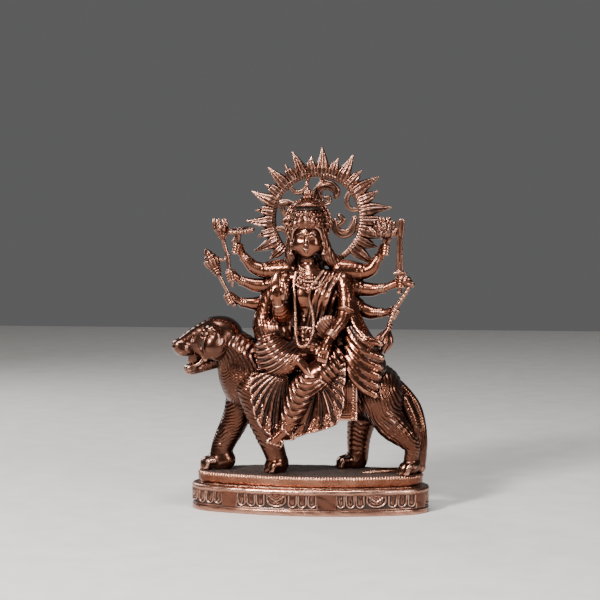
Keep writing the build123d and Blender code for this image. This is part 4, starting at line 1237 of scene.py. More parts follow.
def mace():
    shaft_end = np.array([-61.2, 1, 154.6])
    shaft = limb((-50.4, 1, 134.0, 1.5), (-50.9, 1, 135.2, 1.2), (*shaft_end, 1.3))
    head_piece = turned(shaft_end - (-1.0, 0, 2), (-69.4, 1, 170.8), [
        (0, 1.3), (0.12, 2.4), (0.3, 3.5), (0.42, 4.3), (0.5, 4.9), (0.6, 5.0), (0.63, 4.0), (0.68, 4.5),
        (0.74, 4.0), (0.77, 2.8), (0.82, 3.0), (0.9, 2.0), (1, 0.5),
    ])
    axis = np.array([-0.46, 0, 0.89], np.float32)

    def flutes(p):
        along = (p - shaft_end.astype(np.float32)) @ axis
        turn = np.arctan2((p[:, 0] + 64.6) * 0.89 + (p[:, 2] - 161) * 0.46, 1 - p[:, 1])
        lobes = spokes(turn, 4.5, 12, 0.55) * band(along, 5.6, 10.6)
        return lobes + ridges(along, 1.7, 0.5) * band(along, -1, 5.2)

    return join(raised(head_piece, flutes), shaft, k=0.5)


def staff_strut():
    return join(
        limb((-65.4, 1, 161.6, 1.7), (-61.4, 1.2, 163.4, 1.2), (-57, 1.6, 163.6, 1.0),
             (-54.2, 2, 166.6, 1.3)),
        egg((-62.0, 1, 163.2), (1.9, 1.3, 1.3)),
        k=0.6,
    )


def lotus():
    """A full flower: three rings of pointed petals, each with a rib."""
    x, y, z = 48.6, 2.5, 178.2
    petals = []
    for count, spread, rise, shift, width in ((10, 8.6, 5.6, 0, 1.9), (10, 6.4, 10.6, 0.5, 2.0),
                                              (7, 3.0, 12.8, 0.2, 1.9)):
        for i in range(count):
            turn = (i + shift) * TAU / count
            dx, dy = math.cos(turn), math.sin(turn)
            petals.append(
                limb((x + 1.3 * dx, y + 1.3 * dy, z + 0.6, 1.0),
                     (x + 0.68 * spread * dx, y + 0.56 * spread * dy, z + 0.42 * rise, width),
                     (x + 0.95 * spread * dx, y + 0.72 * spread * dy, z + 0.8 * rise, 0.5 * width),
                     (x + 1.12 * spread * dx, y + 0.8 * spread * dy, z + 1.02 * rise, 0.35))
            )
    cup = egg((x, y, z + 2.6), (4.6, 3.9, 3.4))
    stem = limb((47.6, 3, 165, 1.0), (48.4, 2.6, 172, 1.0), (x, y, z + 0.6, 1.5))
    ribs = (
        lambda p: spokes(np.arctan2(p[:, 0] - x, y - p[:, 1]), 6, 36, 0.45)
        * step_up(p[:, 2], z, z + 2)
    )
    leaf = limb((49.6, 2.6, 173.6, 0.9), (52.2, 1.6, 178.0, 1.3), (53.6, 1, 180.8, 0.5))
    return join(raised(join(cup, *petals, k=0.3), ribs), stem, leaf, k=0.5)


def sword():
    x, y = 58.6, 0.6
    tip = 190.8

    def blade(p):
        along = p[:, 2]
        lean = x + 0.035 * np.maximum(along - 176, 0) ** 1.25
        half = np.interp(along, (154, 176, 184, 188.6, tip), (2.3, 1.8, 2.5, 2.4, 1.4))
        across = np.abs(p[:, 0] - lean) - half
        thick = np.abs(p[:, 1] - y) - (1.0 - 0.22 * np.abs(p[:, 0] - lean))
        groove = 0.3 * band(np.abs(p[:, 0] - lean), -1, 0.4, 0.2) * band(along, 162, 180)
        return smooth_max(smooth_max(across, thick + groove, 0.3), np.maximum(154 - along, along - tip),
                          0.3)

    steel = Form(blade, (x - 3.6, y - 1.6, 154), (x + 4.8, y + 1.6, tip))
    guard = join(
        limb((x - 3.2, y, 155.4, 1.2), (x, y, 155.0, 1.5), (x + 3.6, y, 155.2, 1.2)),
        egg((x, y, 155.8), (3.0, 1.8, 1.6)),
        k=0.6,
    )
    hilt = turned((x, y, 141.6), (x, y, 156.2),
                  [(0, 1.2), (0.06, 2.0), (0.12, 1.4), (0.5, 1.6), (0.9, 1.4), (1, 1.6)])
    return join(steel, guard, hilt, k=0.4)


def trident():
    neck = (51.6, -4, 118.6)
    shaft = limb((66.4, -3, 148.6, 1.2), (59.6, -3, 137.6, 1.3), (54.8, -3, 129.8, 1.3), (*neck, 1.6))
    butt = join(egg((66.2, -3, 148.2), (2.3, 1.7, 2.2)), egg((63.0, -2, 150.4), (3.4, 2.6, 3.4)), k=1.5)
    collar = [hoop(toward((55.4, -3, 129.8), neck, share), (-0.33, 0, -0.94), 1.5, 0.6)
              for share in (0.72, 0.9)]
    prongs = [
        limb((*neck, 1.5), (*middle, 2.0), (*tip, 0.7))
        for middle, tip in (
            ((43.8, -6.4, 111.8), (41.6, -8, 103.6)), ((46.6, -9.6, 111.2), (43.4, -10, 102.8)),
            ((50.2, -8.6, 110.2), (46.4, -9, 102.6)), ((53.2, -5.6, 110.6), (49.6, -7, 104.0)),
        )
    ]
    twist = lambda p: ridges(p[:, 2] + 0.9 * p[:, 1], 2.4, 0.25)
    return join(raised(join(shaft, butt, k=0.5), twist), *collar, *prongs, k=0.5)


# ---------------------------------------------------------------- halo
HALO = np.array([3.5, 12.0, 190.2])
HALO_RADIUS = 29.7
RAYS, RAY_FIRST, RAY_PITCH = 22, -38.4, 12.3  # how many, and degrees
RAY_ROOT, RAY_LENGTHENS, RAY_BENDS = 29.6, 33, 36  # millimetres from the halo's centre
RAY_EXTRA = 2.4  # how much longer a ray that points to the right is
RAY_BEND = 1.5  # how far a ray's tip leans to the side


def halo_ring():
    """Round bar wound like rope, with a plain raised band inside it."""
    bar = hoop(HALO, (0, 1, 0), HALO_RADIUS, 1.75)
    inner = hoop(HALO, (0, 1, 0), HALO_RADIUS - 1.5, 0.7, 2.4)

    def rope(p):
        x, z = p[:, 0] - HALO[0], p[:, 2] - HALO[2]
        return ridges(np.arctan2(z, x) * HALO_RADIUS + 0.6 * (p[:, 1] - HALO[1]), 1.95, 0.32)

    return join(raised(bar, rope), inner, k=0.4)


def halo_rays(first, tip, half_width):
    """Every other ray: grooved leaves, each a little bent."""
    last = RAYS - 1 - (RAYS - 1 - first) % 2
    below_ring = RAY_FIRST + 0.5 * RAY_PITCH * (RAYS - 1) - 180

    def field(p):
        q = p - HALO.astype(np.float32)
        turn = np.degrees(np.arctan2(q[:, 2], q[:, 0]))
        turn = np.where(turn < below_ring, turn + 360, turn)
        index = first + 2 * np.round(((turn - RAY_FIRST) / RAY_PITCH - first) / 2)
        index = np.clip(index, first, last)
        angle = np.radians(RAY_FIRST + RAY_PITCH * index)
        reach = q[:, 0] * np.cos(angle) + q[:, 2] * np.sin(angle)
        across = q[:, 2] * np.cos(angle) - q[:, 0] * np.sin(angle)
        bent = np.clip((reach - RAY_BENDS) / (tip - RAY_BENDS), 0, 1) ** 2
        across = across - RAY_BEND * np.sin(2.7 * index) * bent
        longer = RAY_EXTRA * np.clip(np.cos(angle), 0, 1)
        half = np.interp(
            reach - longer * (reach > RAY_LENGTHENS), (30, 33.5, 37.5, tip - 3.4, tip),
            (half_width, 1.1 * half_width, 0.86 * half_width, 1.5, 0.45)
        )
        share = across / half
        ribs = 0.3 * np.cos(TAU * share * 1.55) * (half > 1.4)
        depth = half * 0.55 * np.sqrt(np.clip(1 - share * share, 0.0, 1)) + 0.35 + ribs
        leaf = smooth_max((np.abs(across) - half) * 0.9, (np.abs(q[:, 1]) - depth) * 0.7, 0.5)
        return smooth_max(leaf, np.maximum(RAY_ROOT - reach, reach - tip - longer), 0.3)

    return Form(field, HALO - (tip + 2, 4, tip + 2), HALO + (tip + 4, 4, tip + 2))


def scroll(radius, *points, flute=0.35):
    """Fluted bar along points in the halo's plane, given from its centre, with a radius if wanted."""
    rows = [(HALO[0] + at[0], HALO[1], HALO[2] + at[1], at[2] if len(at) > 2 else radius) for at in points]
    bar = limb(*rows, count=5)
    place = chain_field(curve(rows, 5))

    def flutes(p):
        distance = place(p) + radius
        sunk = np.abs(p[:, 1] - HALO[1]) / np.maximum(distance, 0.3)
        return flute * np.cos(TAU * 1.5 * sunk)

    return raised(bar, flutes)


def halo_scroll_crest():
    return join(
        scroll(2.6, (-2.2, 12.6, 1.8), (-0.4, 18.0, 2.4), (3.8, 22.2, 3.0), (9.0, 21.8, 3.0),
               (12.6, 18.4, 2.4), (12.4, 14.8, 1.5)),
        scroll(2.0, (3.4, 23.2, 2.2), (4.6, 29.0, 2.4)),
        scroll(1.3, (1.0, 17.6, 1.8), (2.6, 12.8, 1.3), (4.8, 10.2, 1.2), (7.6, 11.0, 1.2),
               (7.8, 14.0, 1.2), (5.4, 14.4, 1.0)),
        k=0.8,
    )


def halo_scroll_eye():
    return scroll(1.4, (27.6, 13.2), (25.0, 19.0), (20.6, 16.4), (19.4, 10.2), (22.6, 6.4), (28.6, 6.6))


def halo_scroll_left():
    return join(
        scroll(1.9, (14.4, 2.4, 1.2), (17.0, -0.6, 1.7), (14.6, -3.2, 1.5)),
        scroll(2.6, (11.6, -1.4, 1.8), (12.2, -6.4, 2.4), (16.4, -9.6, 2.9), (21.6, -8.2, 2.7),
               (24.0, -3.6, 2.2), (24.6, 0.6, 1.6)),
        scroll(1.6, (23.4, -6.4, 1.8), (28.8, -5.0, 1.8)),
        k=0.8,
    )


def halo_scroll_right():
    return scroll(1.6, (-28.6, -6.6), (-23.4, -6.6), (-19.6, -9.4), (-18.8, -14.4), (-21.4, -18.6),
                  (-24.6, -19.0))


def halo_scroll_tie():
    return join(
        scroll(1.7, (-28.4, 9.6, 1.5), (-22.5, 10.6, 2.4), (-16.5, 9.6, 1.8)),
        scroll(1.3, (-18.2, 21.6, 1.1), (-14.4, 17.6, 1.3), (-9.8, 18.6, 1.3), (-7.6, 21.4, 0.9)),
        scroll(1.3, (-24.4, 9.6, 1.2), (-21.8, 3.6, 1.4), (-19.4, 1.4, 1.5), (-18.8, 6.0, 1.2)),
        scroll(1.3, (-22.6, 19.4, 1.5), (-18.2, 21.6, 1.3)),
        k=0.7,
    )


def halo_bracket():
    x, y, z = HALO[0], HALO[1] - 2.4, HALO[2] - HALO_RADIUS - 12
    plate = slab((x, y, z), (5, 1.7, 13), 1.2)
    bosses = [drum((x, y + 1.4, z + rise), (0, 1, 0), 3.4, 0.7, 0.4) for rise in (-6, 4)]
    return raised(join(plate, *bosses, k=0.5), lambda p: 0.15 * wobble(p, 3))


# ---------------------------------------------------------------- plinth
HALF_LENGTH, HALF_DEPTH, END_RADIUS = 78.2, 31.0, 20.0
LONG_RADIUS = (
    ((HALF_LENGTH - END_RADIUS) ** 2 + (HALF_DEPTH - END_RADIUS) ** 2) / (2 * (HALF_DEPTH - END_RADIUS))
    + END_RADIUS
)
LONG_SPAN = math.asin((HALF_LENGTH - END_RADIUS) / (LONG_RADIUS - END_RADIUS))
PANELS = 6
PANEL_START, PANEL_DRIFT, PANEL_SWELL = 0.216, 0.012, 0.075  # the panels are wider at the front
PETALS = ((10.6, 3.1), (17.0, 3.1), (23.4, 3.0))  # place from the panel's middle, and half width
FRIEZE_LOW, FRIEZE_HIGH = 4.5, 13.1
FRIEZE_GROUND, FRIEZE_LIFT = -1.15, 1.15
FRIEZE_DEEPEST, FRIEZE_PROUDEST = -1.3, 0.4
COLUMNS = 860


def outline(columns):
    """Points, outward normals and place along the plinth's oval, from the middle of its front."""
    long_half, end_arc = LONG_SPAN * LONG_RADIUS, (math.pi - 2 * LONG_SPAN) * END_RADIUS
    around = 4 * long_half + 2 * end_arc
    s = np.arange(columns) * around / columns
    half = around / 2
    back = s > half
    t = np.where(back, s - half, s)
    on_long = t < long_half
    on_end = (t >= long_half) & (t < long_half + end_arc)
    angle = np.where(
        on_long, t / LONG_RADIUS,
        np.where(on_end, LONG_SPAN + (t - long_half) / END_RADIUS, math.pi + (t - half) / LONG_RADIUS),
    )
    normal = np.stack((np.sin(angle), -np.cos(angle)), axis=1)
    centre_y = np.where(on_long, LONG_RADIUS - HALF_DEPTH, np.where(on_end, 0, HALF_DEPTH - LONG_RADIUS))
    centre = np.stack((np.where(on_end, HALF_LENGTH - END_RADIUS, 0), centre_y), axis=1)
    point = centre + normal * np.where(on_end, END_RADIUS, LONG_RADIUS)[:, None]
    turn = np.where(back, -1, 1)[:, None]
    return point * turn, normal * turn, s, around


def frieze(s, z, around):
    """Height of the moulded frieze: panels of upright petals either side of a hanging point."""
    turn = TAU * s / around
    place = PANELS * (s / around - PANEL_DRIFT * np.sin(turn)) - PANEL_START
    t = (place % 1 - 0.5) * around / PANELS / (1 - PANEL_SWELL * np.cos(turn))
    field_of_panel = band(np.abs(t), -1, 26.4, 0.3) * band(z, FRIEZE_LOW, FRIEZE_HIGH, 0.25)
    height = np.full(np.broadcast(s, z).shape, FRIEZE_GROUND)
    for centre, half in PETALS:
        cup = np.hypot(np.abs(t) - centre - 0.06 * (z - 8), np.maximum(8.2 - z, 0)) - half
        rim, bud = band(cup, -1.0, -0.1, 0.15), 1 - step_up(cup, -2.2, -1.7)
        height = height + FRIEZE_LIFT * rim + bud * (0.95 - 0.02 * (z - 9) ** 2)
        height += 0.35 * band(cup, -1.6, -1.3, 0.1)
    wide = np.hypot(0.72 * t, np.maximum(10.4 - z, 0)) - 5.0
    height += FRIEZE_LIFT * band(wide, -1.0, -0.1, 0.15) + 0.8 * band(wide, -2.8, -1.7, 0.15)
    point = np.abs(t) * 0.72 + 9.4 - z
    height = np.where(point < 1.2, np.maximum(height, 0.3 - 0.9 * band(point, -0.9, -0.2, 0.1)), height)
    return field_of_panel * np.clip(height, FRIEZE_DEEPEST, FRIEZE_PROUDEST)


def wrap_quads(rows, columns, closed):
    row = np.arange(rows if closed else rows - 1)[:, None]
    column = np.arange(columns)[None, :]
    after, right = (row + 1) % rows, (column + 1) % columns
    corners = (row * columns + column, row * columns + right, after * columns + right,
               after * columns + column)
    return np.stack(corners, axis=-1).reshape(-1, 4)


def hollow_of(grid, normals, reaches=((1, 1), (3, 4))):
    """How hollow a grid of points is: how far the neighbours' mean lies outside each point."""
    found = []
    for rows, columns in reaches:
        mean = sum(
            np.roll(grid, (i, j), (0, 1))
            for i in (-rows, 0, rows) for j in (-columns, 0, columns) if i or j
        ) / 8
        found.append(np.clip(((mean - grid) * normals).sum(axis=-1) * 0.55, -0.5, 0.5).reshape(-1))
    return np.stack(found, axis=1)


def swept(profile, relief, columns):
    """Points swept round the oval and where they face; rows are (inset, height, normal out, up)."""
    point, normal, s, around = outline(columns)
    rows = np.array(profile, float)
    height = relief(s[None, :], rows[:, 1:2], around)
    out, up = rows[:, 2:3], rows[:, 3:4]
    grid = np.empty((len(rows), columns, 3))
    grid[..., :2] = point[None] + normal[None] * (height * out - rows[:, :1])[..., None]
    grid[..., 2] = rows[:, 1:2] + height * up
    facing = np.empty_like(grid)
    facing[..., :2] = normal[None] * out[..., None]
    facing[..., 2] = up
    return grid, facing


def plinth_base():
    lower = [(2.1, 0, 0, -1), (0.5, 0, 0, -1), (0.1, 0.25, 0.7, -0.7), (0, 0.7, 1, 0), (0, 1.8, 1, 0),
             (0, 3.0, 1, 0), (0.15, 3.4, 1, 0), (0.6, 3.7, 1, 0), (0.6, 4.1, 1, 0), (0.1, 4.4, 1, 0)]
    middle = [(0, z, 1, 0) for z in np.arange(4.6, 13.4, 0.42)]
    upper = [(0, 13.8, 1, 0), (-0.15, 14.4, 1, 0), (-0.2, 15.2, 1, 0), (0, 16.1, 1, 0),
             (0.5, 16.7, 0.7, 0.7), (1.2, 17.0, 0, 1), (2.6, 17.05, 0, 1), (4.6, 17.0, 0, 1),
             (8, 17, 0, 1), (8, 12, -1, 0), (8, 1.65, -1, 0), (5, 1.65, 0, -1), (2.1, 1.65, 0, -1),
             (2.1, 0.8, -1, 0)]

    def relief(s, z, around):
        dents = 0.10 * np.sin(s / 7.3 + 1) * np.sin(s / 3.1 + z) + 0.07 * np.sin(s / 1.9 + 0.8 * z)
        pitted = (
            0.12 * np.sin(3.1 * s + 2 * z) * np.sin(1.7 * s - 3.3 * z) * band(z, 13.2, 16.2)
            * band(s % 121, 70, 120, 4)
        )
        return frieze(s, z, around) + (dents + pitted) * band(z, 0.6, 16.4, 0.3)

    profile = lower + middle + upper
    grid, facing = swept(profile, relief, COLUMNS)
    hollow = hollow_of(grid, facing)
    _, _, s, around = outline(COLUMNS)
    sunk = -frieze(s[None, :], np.array(profile, float)[:, 1:2], around)
    hollow[:, 0] += 0.22 * step_up(sunk, 0.3, 1.0).reshape(-1)
    # the plain mouldings under and over the frieze are brightened by rubbing: partly real wear, partly a
    # painted highlight
    plain = np.array([0.6 < row[1] < 3.2 or row[1] > 14 for row in profile])
    hollow[:, 0] -= 0.10 * np.repeat(plain, COLUMNS)
    return {"points": grid.reshape(-1, 3), "quads": wrap_quads(len(profile), COLUMNS, True),
            "normals": facing.reshape(-1, 3), "hollow": hollow}


def plinth_deck():
    side = [(4.6, 17.02, 0.3, -0.9), (5.4, 17.3, 1, 0), (5.7, 17.8, 1, 0), (5.2, 18.2, 1, 0),
            (4.5, 18.5, 1, 0), (4.2, 19.2, 1, 0), (4.05, 20.2, 1, 0), (4.0, 21.4, 1, 0),
            (4.05, 22.6, 1, 0), (4.2, 23.4, 1, 0), (4.5, 24.0, 0.8, 0.5), (4.9, 24.4, 0.7, 0.7),
            (5.3, 24.7, 0.6, 0.8), (5.7, 24.8, 0.3, 0.9), (6.3, 24.85, 0, 1), (7.4, 24.9, 0, 1)]

    def relief(s, z, around):
        beads = int(around / 1.9)
        return (
            ridges(s * beads / around, 1.0, 0.6) * band(z, 23.0, 24.82, 0.15)
            + 0.12 * np.sin(s / 5.3) * np.sin(s / 2.1 + z)
        )

    grid, facing = swept(side, relief, COLUMNS)
    rim = grid[-1].copy()
    rings = []
    for scale in np.concatenate((np.linspace(0.985, 0.06, 40), [0.01])):
        ring = rim * (scale, scale, 1)
        x, y = ring[:, 0], ring[:, 1]
        wave_x = np.sin(1.9 * x + 1.3 * np.sin(1.1 * y))
        wave_y = np.sin(1.7 * y + 1.1 * np.sin(0.9 * x))
        ring[:, 2] = DECK_TOP + 0.06 + 0.12 * wave_x * wave_y
        rings.append(ring)
    under = [grid[0] * (scale, scale, 1) for scale in (0.01, 0.5, 0.96)]
    grid = np.concatenate((under, grid, rings))
    up = np.zeros_like(grid)
    up[..., 2] = 1
    facing = np.concatenate((-up[: len(under)], facing, up[: len(rings)]))
    hollow = hollow_of(grid, facing)
    hollow[: len(under) * COLUMNS] = 0
    hollow[-3 * COLUMNS :] = 0
    quads = wrap_quads(len(grid), COLUMNS, False)
    return {"points": grid.reshape(-1, 3), "quads": quads, "normals": facing.reshape(-1, 3),
            "hollow": hollow,
            "caps": [np.arange(COLUMNS)[::-1], (len(grid) - 1) * COLUMNS + np.arange(COLUMNS)]}


# ---------------------------------------------------------------- the pieces
# Each sculpted piece: the function that makes it, named like its node, and its cell size in millimetres.
BEFORE_ARMS = [
    (lion_body, 0.52), (lion_head, 0.45), (lion_lower_jaw, 0.4), (lion_eyes, 0.3),
    (lion_front_leg_right, 0.5), (lion_front_leg_left, 0.5), (lion_hind_leg_right, 0.55),
    (lion_hind_leg_left, 0.48), (lion_tail, 0.45), (saddle_cloth, 0.5), (torso, 0.5), (head, 0.27),
    (hair, 0.45), (crown, 0.36), (crown_finial, 0.35), (crown_rosette, 0.36), (earrings, 0.3),
    (necklace, 0.35), (garland, 0.4), (belt, 0.42), (folded_leg, 0.42), (hanging_leg, 0.42),
    (skirt_fan_right, 0.42), (skirt_fan_left, 0.42), (shawl, 0.45), (arm_blessing, 0.38),
    (arm_resting, 0.38),
]
HELD_AND_RING = [
    (bangles, 0.32), (armlets, 0.36), (chakra, 0.36), (flower_staff, 0.36), (mace, 0.38),
    (staff_strut, 0.36), (lotus, 0.36), (sword, 0.36), (trident, 0.36), (halo_ring, 0.42),
]
SCROLLS = [
    (halo_scroll_crest, 0.36), (halo_scroll_eye, 0.36), (halo_scroll_left, 0.36), (halo_scroll_right, 0.36),
    (halo_scroll_tie, 0.36), (halo_bracket, 0.6),
]


def by_name(rows):
    return {make.__name__: (make, cell) for make, cell in rows}


SCULPTED = {
    **by_name(BEFORE_ARMS),
    **{name: (lambda name=name: rear_arm(name), 0.4) for name in REAR_ARMS},
    **by_name(HELD_AND_RING),
    "halo_rays_long": (lambda: halo_rays(0, 47.6, 4.3), 0.42),
    "halo_rays_short": (lambda: halo_rays(1, 42.0, 3.4), 0.42),
    **by_name(SCROLLS),
}
SWEPT = {"plinth_base": plinth_base, "plinth_deck": plinth_deck}

ROOM_LOW = np.array([-100.0, -50.0, -10.0])
ROOM_CELL = 1.6
ROOM_SHAPE = (126, 64, 160)
ROOM_REACHES = (2, 5)  # cells: how far off a neighbour still shades a point, nearly and loosely


def room_index(points):
    index = ((points - ROOM_LOW) / ROOM_CELL).astype(int)
    return tuple(np.clip(index, 0, np.array(ROOM_SHAPE) - 1).T)


def fill_room(found):
    """Share of each coarse cell of the room that any sculpted piece fills."""
    room = np.zeros(ROOM_SHAPE, np.float32)
    for result in found:
        if "grid" not in result:
            continue
        cells = np.argwhere(result["grid"])
        index = np.ravel_multi_index(room_index(result["low"] + cells * result["step"]), ROOM_SHAPE)
        volume = (result["step"] / ROOM_CELL) ** 3
        room += np.bincount(index, minlength=room.size).reshape(ROOM_SHAPE) * volume
    return np.clip(room, 0, 1)


def patina_of(result, near, wide):
    """Wear (partly a painted highlight), grime and openness (shut-in points get painted shade), each from 0
    to 1, at every point.
    """
    fine, coarse = result["hollow"].T
    outside = result["points"] + result["normals"] * COARSE_REACH
    # painted shade: how closely the pieces round a point close it in
    closed = 0.5 * near[room_index(outside)] + 0.9 * wide[room_index(outside)]
    wear_and_highlight = step_up(-fine - 0.2 * coarse, 0.04, 0.26)
    grimed = step_up(fine + 0.5 * coarse, 0.01, 0.2)
    unshaded = 1 - step_up(closed, 0.16, 0.72)
    return np.stack((wear_and_highlight, grimed, unshaded, np.ones_like(wear_and_highlight)), axis=1).astype(np.float32)


def add_mesh(name, result, patina_and_shade):
    points = np.ascontiguousarray(result["points"] * MM, np.float32)
    quads = result["quads"].astype(np.int32)
    caps = result.get("caps", [])
    loops = np.concatenate([quads.reshape(-1), *caps]).astype(np.int32)
    starts = np.arange(len(quads)) * 4
    cap_starts = [quads.size + sum(len(cap) for cap in caps[:i]) for i in range(len(caps))]
    starts = np.concatenate((starts, cap_starts)).astype(np.int32)
    mesh = bpy.data.meshes.new(name)
    mesh.vertices.add(len(points))
    mesh.vertices.foreach_set("co", points.reshape(-1))
    mesh.loops.add(len(loops))
    mesh.loops.foreach_set("vertex_index", loops)
    mesh.polygons.add(len(starts))
    mesh.polygons.foreach_set("loop_start", starts)
    mesh.update(calc_edges=True)
    colours = mesh.color_attributes.new("patina_and_shade", "FLOAT_COLOR", "POINT")
    colours.data.foreach_set("color", patina_and_shade.reshape(-1))
    mesh.shade_smooth()
    piece = bpy.data.objects.new(name, mesh)
    bpy.context.scene.collection.objects.link(piece)
    return piece


# ---------------------------------------------------------------- materials
class Shader:
    """A material's node tree, built in a few words."""

    def __init__(self, name):
        self.material = bpy.data.materials.new(name)
        self.material.use_nodes = True
        self.tree = self.material.node_tree
        self.principled = self.tree.nodes["Principled BSDF"]

    def add(self, kind, inputs=None, **settings):
        node = self.tree.nodes.new("ShaderNode" + kind)
        for key, value in settings.items():
            setattr(node, key, value)
        for key, value in (inputs or {}).items():
            self.feed(node, key, value)
        return node

    def feed(self, node, key, value):
        socket = node.inputs[key]
        if isinstance(value, bpy.types.NodeSocket):
            self.tree.links.new(value, socket)
        else:
            socket.default_value = value

    def noise(self, scale, detail=4.0, roughness=0.6):
        where = self.add("TexCoord").outputs["Object"]
        return self.add("TexNoise",
                        {"Vector": where, "Scale": scale, "Detail": detail,
                         "Roughness": roughness}).outputs["Fac"]

    def remap(self, value, low, high, to_low=0.0, to_high=1.0):
        return self.add(
            "MapRange",
            {"Value": value, "From Min": low, "From Max": high, "To Min": to_low, "To Max": to_high}
        ).outputs["Result"]

    def sum(self, a, b, share=1.0):
        return self.add("Math", {0: b, 1: share, 2: a}, operation="MULTIPLY_ADD").outputs[0]

    def times(self, a, b):
        return self.add("Math", {0: a, 1: b}, operation="MULTIPLY").outputs[0]

    def blend(self, factor, a, b):
        mix = self.add("Mix", data_type="RGBA")
        self.feed(mix, "Factor", factor)
        self.feed(mix, 6, a)
        self.feed(mix, 7, b)
        return mix.outputs[2]

    def bump(self, height, distance, strength=1.0):
        return self.add("Bump",
                        {"Height": height, "Distance": distance, "Strength": strength}).outputs["Normal"]


# copper brightened by rubbing on crests: partly real wear, partly a painted highlight
BRIGHT = (0.72, 0.39, 0.28, 1)
COPPER = (0.17, 0.060, 0.034, 1)
# dark brown: random tarnish blotches, and painted shade where other pieces close round a point
BROWN = (0.058, 0.021, 0.013, 1)
SOOT = (0.030, 0.0150, 0.0120, 1)
GREY = (0.10, 0.070, 0.064, 1)


def lacquer(principled):
    """Thin clear coat: pale, sharp highlights over dark metal."""
    principled.inputs["Coat Weight"].default_value = 0.2
    principled.inputs["Coat Roughness"].default_value = 0.1
    principled.inputs["Coat IOR"].default_value = 1.5


def aged_copper(name, base=COPPER, shine=0.24, rub_and_highlight=0.75, grime=1.0, pitting=0.00003):
    """Copper plate, darkened, then brightened by rubbing: bright where it stands proud (partly a painted
    highlight), sooty where it lies deep, and brown painted shade where other pieces close round it.
    """
    s = Shader(name)
    split = s.add("SeparateColor", {"Color": s.add("Attribute", attribute_name="patina_and_shade").outputs["Color"]})
    wear_and_highlight, grimed, unshaded = split.outputs
    blotch, speck, streak = s.noise(95, 5), s.noise(900, 3), s.noise(28, 3)
    # painted shade: brown where other pieces close round the point
    shaded = s.blend(s.remap(unshaded, 0.0, 0.9), BROWN, base)
    shaded = s.blend(s.remap(blotch, 0.42, 0.72, 0.0, 0.55), shaded, BROWN)
    tarnish = s.times(s.remap(streak, 0.48, 0.66), s.remap(speck, 0.35, 0.75, 0.1, 0.45))
    shaded = s.blend(tarnish, shaded, GREY)
    # crests brightened by rubbing: partly real wear, partly a painted highlight, kept off where painted
    # shade falls
    rubbed_and_highlit = s.times(s.sum(s.remap(wear_and_highlight, 0.1, 0.9, 0.0, rub_and_highlight), s.remap(blotch, 0.35, 0.6, 0.0, 0.2), 1.0),
                     s.remap(unshaded, 0.1, 0.75))
    rubbed_and_highlit = s.times(rubbed_and_highlit, s.remap(wear_and_highlight, 0.0, 0.25))
    shaded = s.blend(rubbed_and_highlit, shaded, BRIGHT)
    dirt = s.remap(s.sum(grimed, s.remap(speck, 0.3, 0.7, -0.12, 0.12)), 0.12, 0.85, 0.0, grime)
    shaded = s.blend(dirt, shaded, SOOT)
    p = s.principled
    s.feed(p, "Base Color", shaded)
    s.feed(p, "Metallic", s.remap(dirt, 0.2, 1.0, 1.0, 0.6))
    s.feed(p, "Roughness", s.sum(s.remap(dirt, 0.0, 1.0, shine, 0.62), s.remap(blotch, 0.3, 0.7, 0.0, 0.1)))
    s.feed(p, "Normal", s.bump(s.sum(speck, blotch, 0.8), pitting, 0.8))
    lacquer(p)
    return s.material


DECK_EDGE = (0.0249, 0.0246)  # metres: dark stippled top above, copper side below


def stippled_deck(name):
    """The plinth's upper step: dark and stippled on top, copper down its side."""
    s = Shader(name)
    split = s.add("SeparateColor", {"Color": s.add("Attribute", attribute_name="patina_and_shade").outputs["Color"]})
    wear_and_highlight = split.outputs[0]
    grain, coarse, blotch = s.noise(1500, 2), s.noise(520, 3), s.noise(60, 4)
    where = s.add("TexCoord").outputs["Object"]
    height = s.add("SeparateXYZ", {"Vector": where}).outputs["Z"]
    side = s.remap(height, *DECK_EDGE)
    top = s.blend(s.remap(coarse, 0.42, 0.70), (0.014, 0.009, 0.008, 1), (0.10, 0.058, 0.046, 1))
    wall = s.blend(s.remap(blotch, 0.38, 0.66), COPPER, (0.32, 0.145, 0.092, 1))
    # crests of the side brightened by rubbing: partly real wear, partly a painted highlight
    wall = s.blend(s.remap(wear_and_highlight, 0.2, 0.8, 0.0, 0.8), wall, BRIGHT)
    wall = s.blend(s.remap(split.outputs[1], 0.2, 0.8), wall, SOOT)
    p = s.principled
    s.feed(p, "Base Color", s.blend(side, top, wall))
    s.feed(p, "Metallic", s.remap(side, 0, 1, 0.35, 1.0))
    s.feed(p, "Roughness", s.sum(s.remap(side, 0, 1, 0.58, 0.3), s.remap(grain, 0.3, 0.7, -0.08, 0.1)))
    s.feed(p, "Normal", s.bump(s.sum(coarse, grain, 0.5), 0.0005, 0.7))
    return s.material


def steel(name):
    s = Shader(name)
    grain = s.noise(1200, 2)
    s.feed(s.principled, "Base Color",
           s.blend(s.remap(grain, 0.3, 0.7), (0.42, 0.41, 0.40, 1), (0.55, 0.54, 0.53, 1)))
    s.feed(s.principled, "Metallic", 1.0)
    s.feed(s.principled, "Roughness", s.remap(grain, 0.3, 0.7, 0.28, 0.42))
    return s.material


def painted_cover(name):
    s = Shader(name)
    grain = s.noise(1400, 3)
    s.feed(s.principled, "Base Color",
           s.blend(s.remap(grain, 0.3, 0.7), (0.014, 0.012, 0.012, 1), (0.03, 0.026, 0.024, 1)))
    s.feed(s.principled, "Roughness", s.remap(grain, 0.3, 0.7, 0.55, 0.75))
    s.feed(s.principled, "Normal", s.bump(grain, 0.0002, 0.6))
    return s.material


def floor_material(name):
    s = Shader(name)
    speck = s.noise(40, 4)
    s.feed(s.principled, "Base Color",
           s.blend(s.remap(speck, 0.3, 0.7), (0.50, 0.485, 0.47, 1), (0.54, 0.525, 0.51, 1)))
    s.feed(s.principled, "Roughness", s.remap(speck, 0.3, 0.7, 0.6, 0.75))
    return s.material


SKIN = (0.22, 0.078, 0.043, 1)
